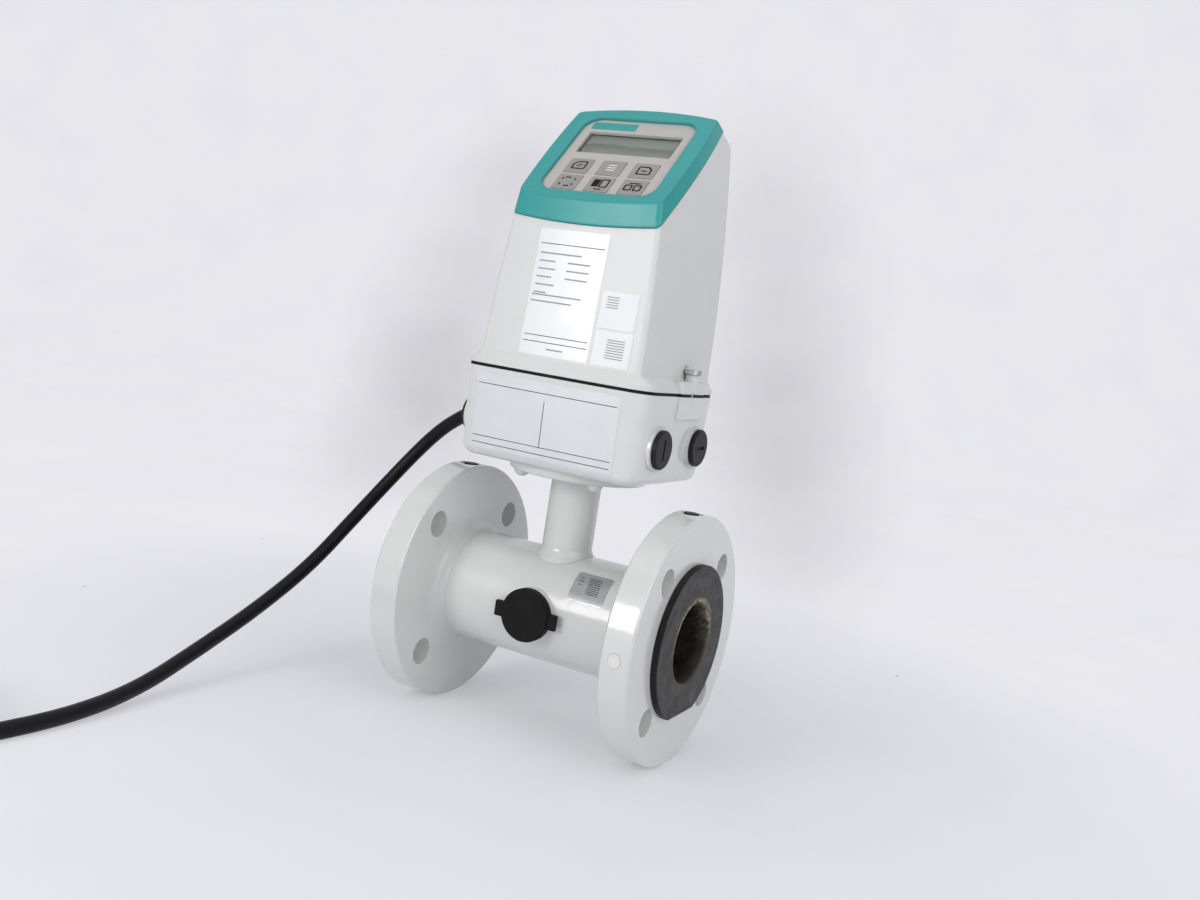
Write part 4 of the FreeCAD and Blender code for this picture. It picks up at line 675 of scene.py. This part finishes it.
# Painted shade in the backdrop's glow, standing in for the soft shade a wall close behind would take: places
# beside the head and the box, how far round each the shade reaches, in radians from the camera's place, and
# how deep it is.
SHADES = [
    ((0.10, 0.0, 0.29), 0.09, 0.18), ((0.12, 0.0, 0.23), 0.10, 0.22),
    ((0.13, 0.0, 0.17), 0.10, 0.24), ((0.14, 0.0, 0.12), 0.11, 0.26),
    ((0.16, 0.0, 0.07), 0.09, 0.14), ((-0.08, 0.0, 0.29), 0.06, 0.20),
    ((-0.10, 0.0, 0.24), 0.08, 0.20), ((-0.12, 0.0, 0.17), 0.09, 0.28),
    ((-0.13, 0.0, 0.11), 0.09, 0.34), ((-0.19, 0.0, 0.06), 0.06, 0.14),
]


def stage_mesh():
    """Floor that sweeps up into a backdrop with no visible edge."""
    rows = [(FLOOR_BACK, 0.0), (0.0, 0.0)]
    for k in range(SWEEP_STEPS + 1):
        a = math.pi / 2 * k / SWEEP_STEPS
        rows.append((FLOOR_REACH + SWEEP_RADIUS * math.sin(a), SWEEP_RADIUS * (1 - math.cos(a))))
    rows.append((FLOOR_REACH + SWEEP_RADIUS, WALL_TOP))
    across = Vector((CAMERA_RIGHT.x, CAMERA_RIGHT.y, 0)).normalized()
    along = Vector((-across.y, across.x, 0))
    verts, faces = [], []
    for depth, height in rows:
        for side in (-STAGE_HALF_WIDTH, STAGE_HALF_WIDTH):
            verts.append(tuple(across * side + along * depth + Vector((0, 0, FLOOR_Z + height))))
    for k in range(len(rows) - 1):
        faces.append((2 * k, 2 * k + 1, 2 * k + 3, 2 * k + 2))
    return mesh_from("studio_sweep", verts, faces, True)


def soft_shade(s):
    """Painted shade beside the object, darkening the backdrop's glow where it is seen past the object from
    the camera's place.
    """
    away = s.node("ShaderNodeVectorMath", operation="SUBTRACT")
    s.feed(away.inputs[0], s.place)
    away.inputs[1].default_value = CAMERA_PLACE
    heading = s.node("ShaderNodeVectorMath", operation="NORMALIZE")
    s.feed(heading.inputs[0], away.outputs[0])
    total = 0.0
    for point, reach, depth in SHADES:
        apart = s.node("ShaderNodeVectorMath", operation="DISTANCE")
        s.feed(apart.inputs[0], heading.outputs[0])
        apart.inputs[1].default_value = (Vector(point) - CAMERA_PLACE).normalized()
        total = s.math("ADD", total, s.scale_range(apart.outputs["Value"], 0.0, reach, depth, 0.0))
    return total


def stage_material():
    """Pale paper with a few marks, which keeps the object's shadow and glows white further off; its glow
    carries painted shade beside the head and the box.
    """
    s = Shader("studio_floor", (0.84, 0.84, 0.87), 0.8, Specular_IOR_Level=0.2)
    cloud = s.scale_range(s.noise(5, 5), 0.3, 0.7)
    marks = s.scale_range(s.noise(9, 2), 0.55, 0.60)
    streaks = s.scale_range(s.cells(30, s.stretch(1.0, 0.45, 1.0)), 0.040, 0.018)
    paper = s.mix(cloud, (0.83, 0.83, 0.865), (0.86, 0.86, 0.885))
    path = s.node("ShaderNodeLightPath")
    seen = s.math("MAXIMUM", path.outputs["Is Camera Ray"], path.outputs["Is Glossy Ray"])
    seen = s.math("MAXIMUM", seen, path.outputs["Is Transmission Ray"])
    distance = s.node("ShaderNodeVectorMath", operation="LENGTH")
    s.feed(distance.inputs[0], s.place)
    share = s.scale_range(distance.outputs["Value"], 0.18, 0.57, 0.32, 0.92)
    glow = s.node("ShaderNodeEmission")
    tint = s.mix(cloud, (0.815, 0.815, 0.865), (0.84, 0.84, 0.88))
    # Painted shade: the glow darkens towards grey beside the head and the box.
    tint = s.mix(soft_shade(s), tint, (0.30, 0.30, 0.32))
    scratched = s.math("MULTIPLY", marks, streaks)
    s.set(Base_Color=s.mix(scratched, paper, (0.30, 0.29, 0.29)))
    s.feed(glow.inputs["Color"], s.mix(scratched, tint, (0.35, 0.34, 0.34)))
    blend = s.node("ShaderNodeMixShader")
    s.feed(blend.inputs[0], s.math("MULTIPLY", seen, share))
    s.feed(blend.inputs[1], s.bsdf.outputs["BSDF"])
    s.feed(blend.inputs[2], glow.outputs["Emission"])
    s.feed(s.tree.nodes["Material Output"].inputs["Surface"], blend.outputs["Shader"])
    return s.material


# name, place, what it faces, size, watts, colour
LIGHTS = [
    ("key_light", (-0.435, -1.33, 0.51), (0.05, 0.0, 0.03), (0.50, 0.53), 6.8, (1.0, 0.995, 0.98)),
    ("ceiling_light", (0.2, -0.2, 1.75), (0.0, 0.0, 0.0), (2.4, 2.4), 9, (0.98, 0.99, 1.0)),
    ("side_light", (1.5, -0.7, 0.7), (0.0, 0.0, 0.1), (1.2, 1.2), 8.0, (0.98, 0.99, 1.0)),
]


def area_light(name, place, target, size, power, color):
    data = bpy.data.lights.new(name, "AREA")
    data.shape = "RECTANGLE"
    data.size, data.size_y = size
    data.energy = power
    data.color = color
    lamp = bpy.data.objects.new(name, data)
    scene.collection.objects.link(lamp)
    lamp.location = place
    lamp.rotation_euler = (Vector(target) - Vector(place)).to_track_quat("-Z", "Y").to_euler()


def make_world():
    """Even pale light from all round."""
    world = bpy.data.worlds.new("studio")
    world.use_nodes = True
    background = world.node_tree.nodes["Background"]
    background.inputs["Color"].default_value = (0.86, 0.88, 0.93, 1)
    background.inputs["Strength"].default_value = 0.50
    scene.world = world


add_object("studio_sweep", stage_mesh(), material=stage_material())
make_world()
for light in LIGHTS:
    area_light(*light)

scene.view_settings.view_transform = "Standard"
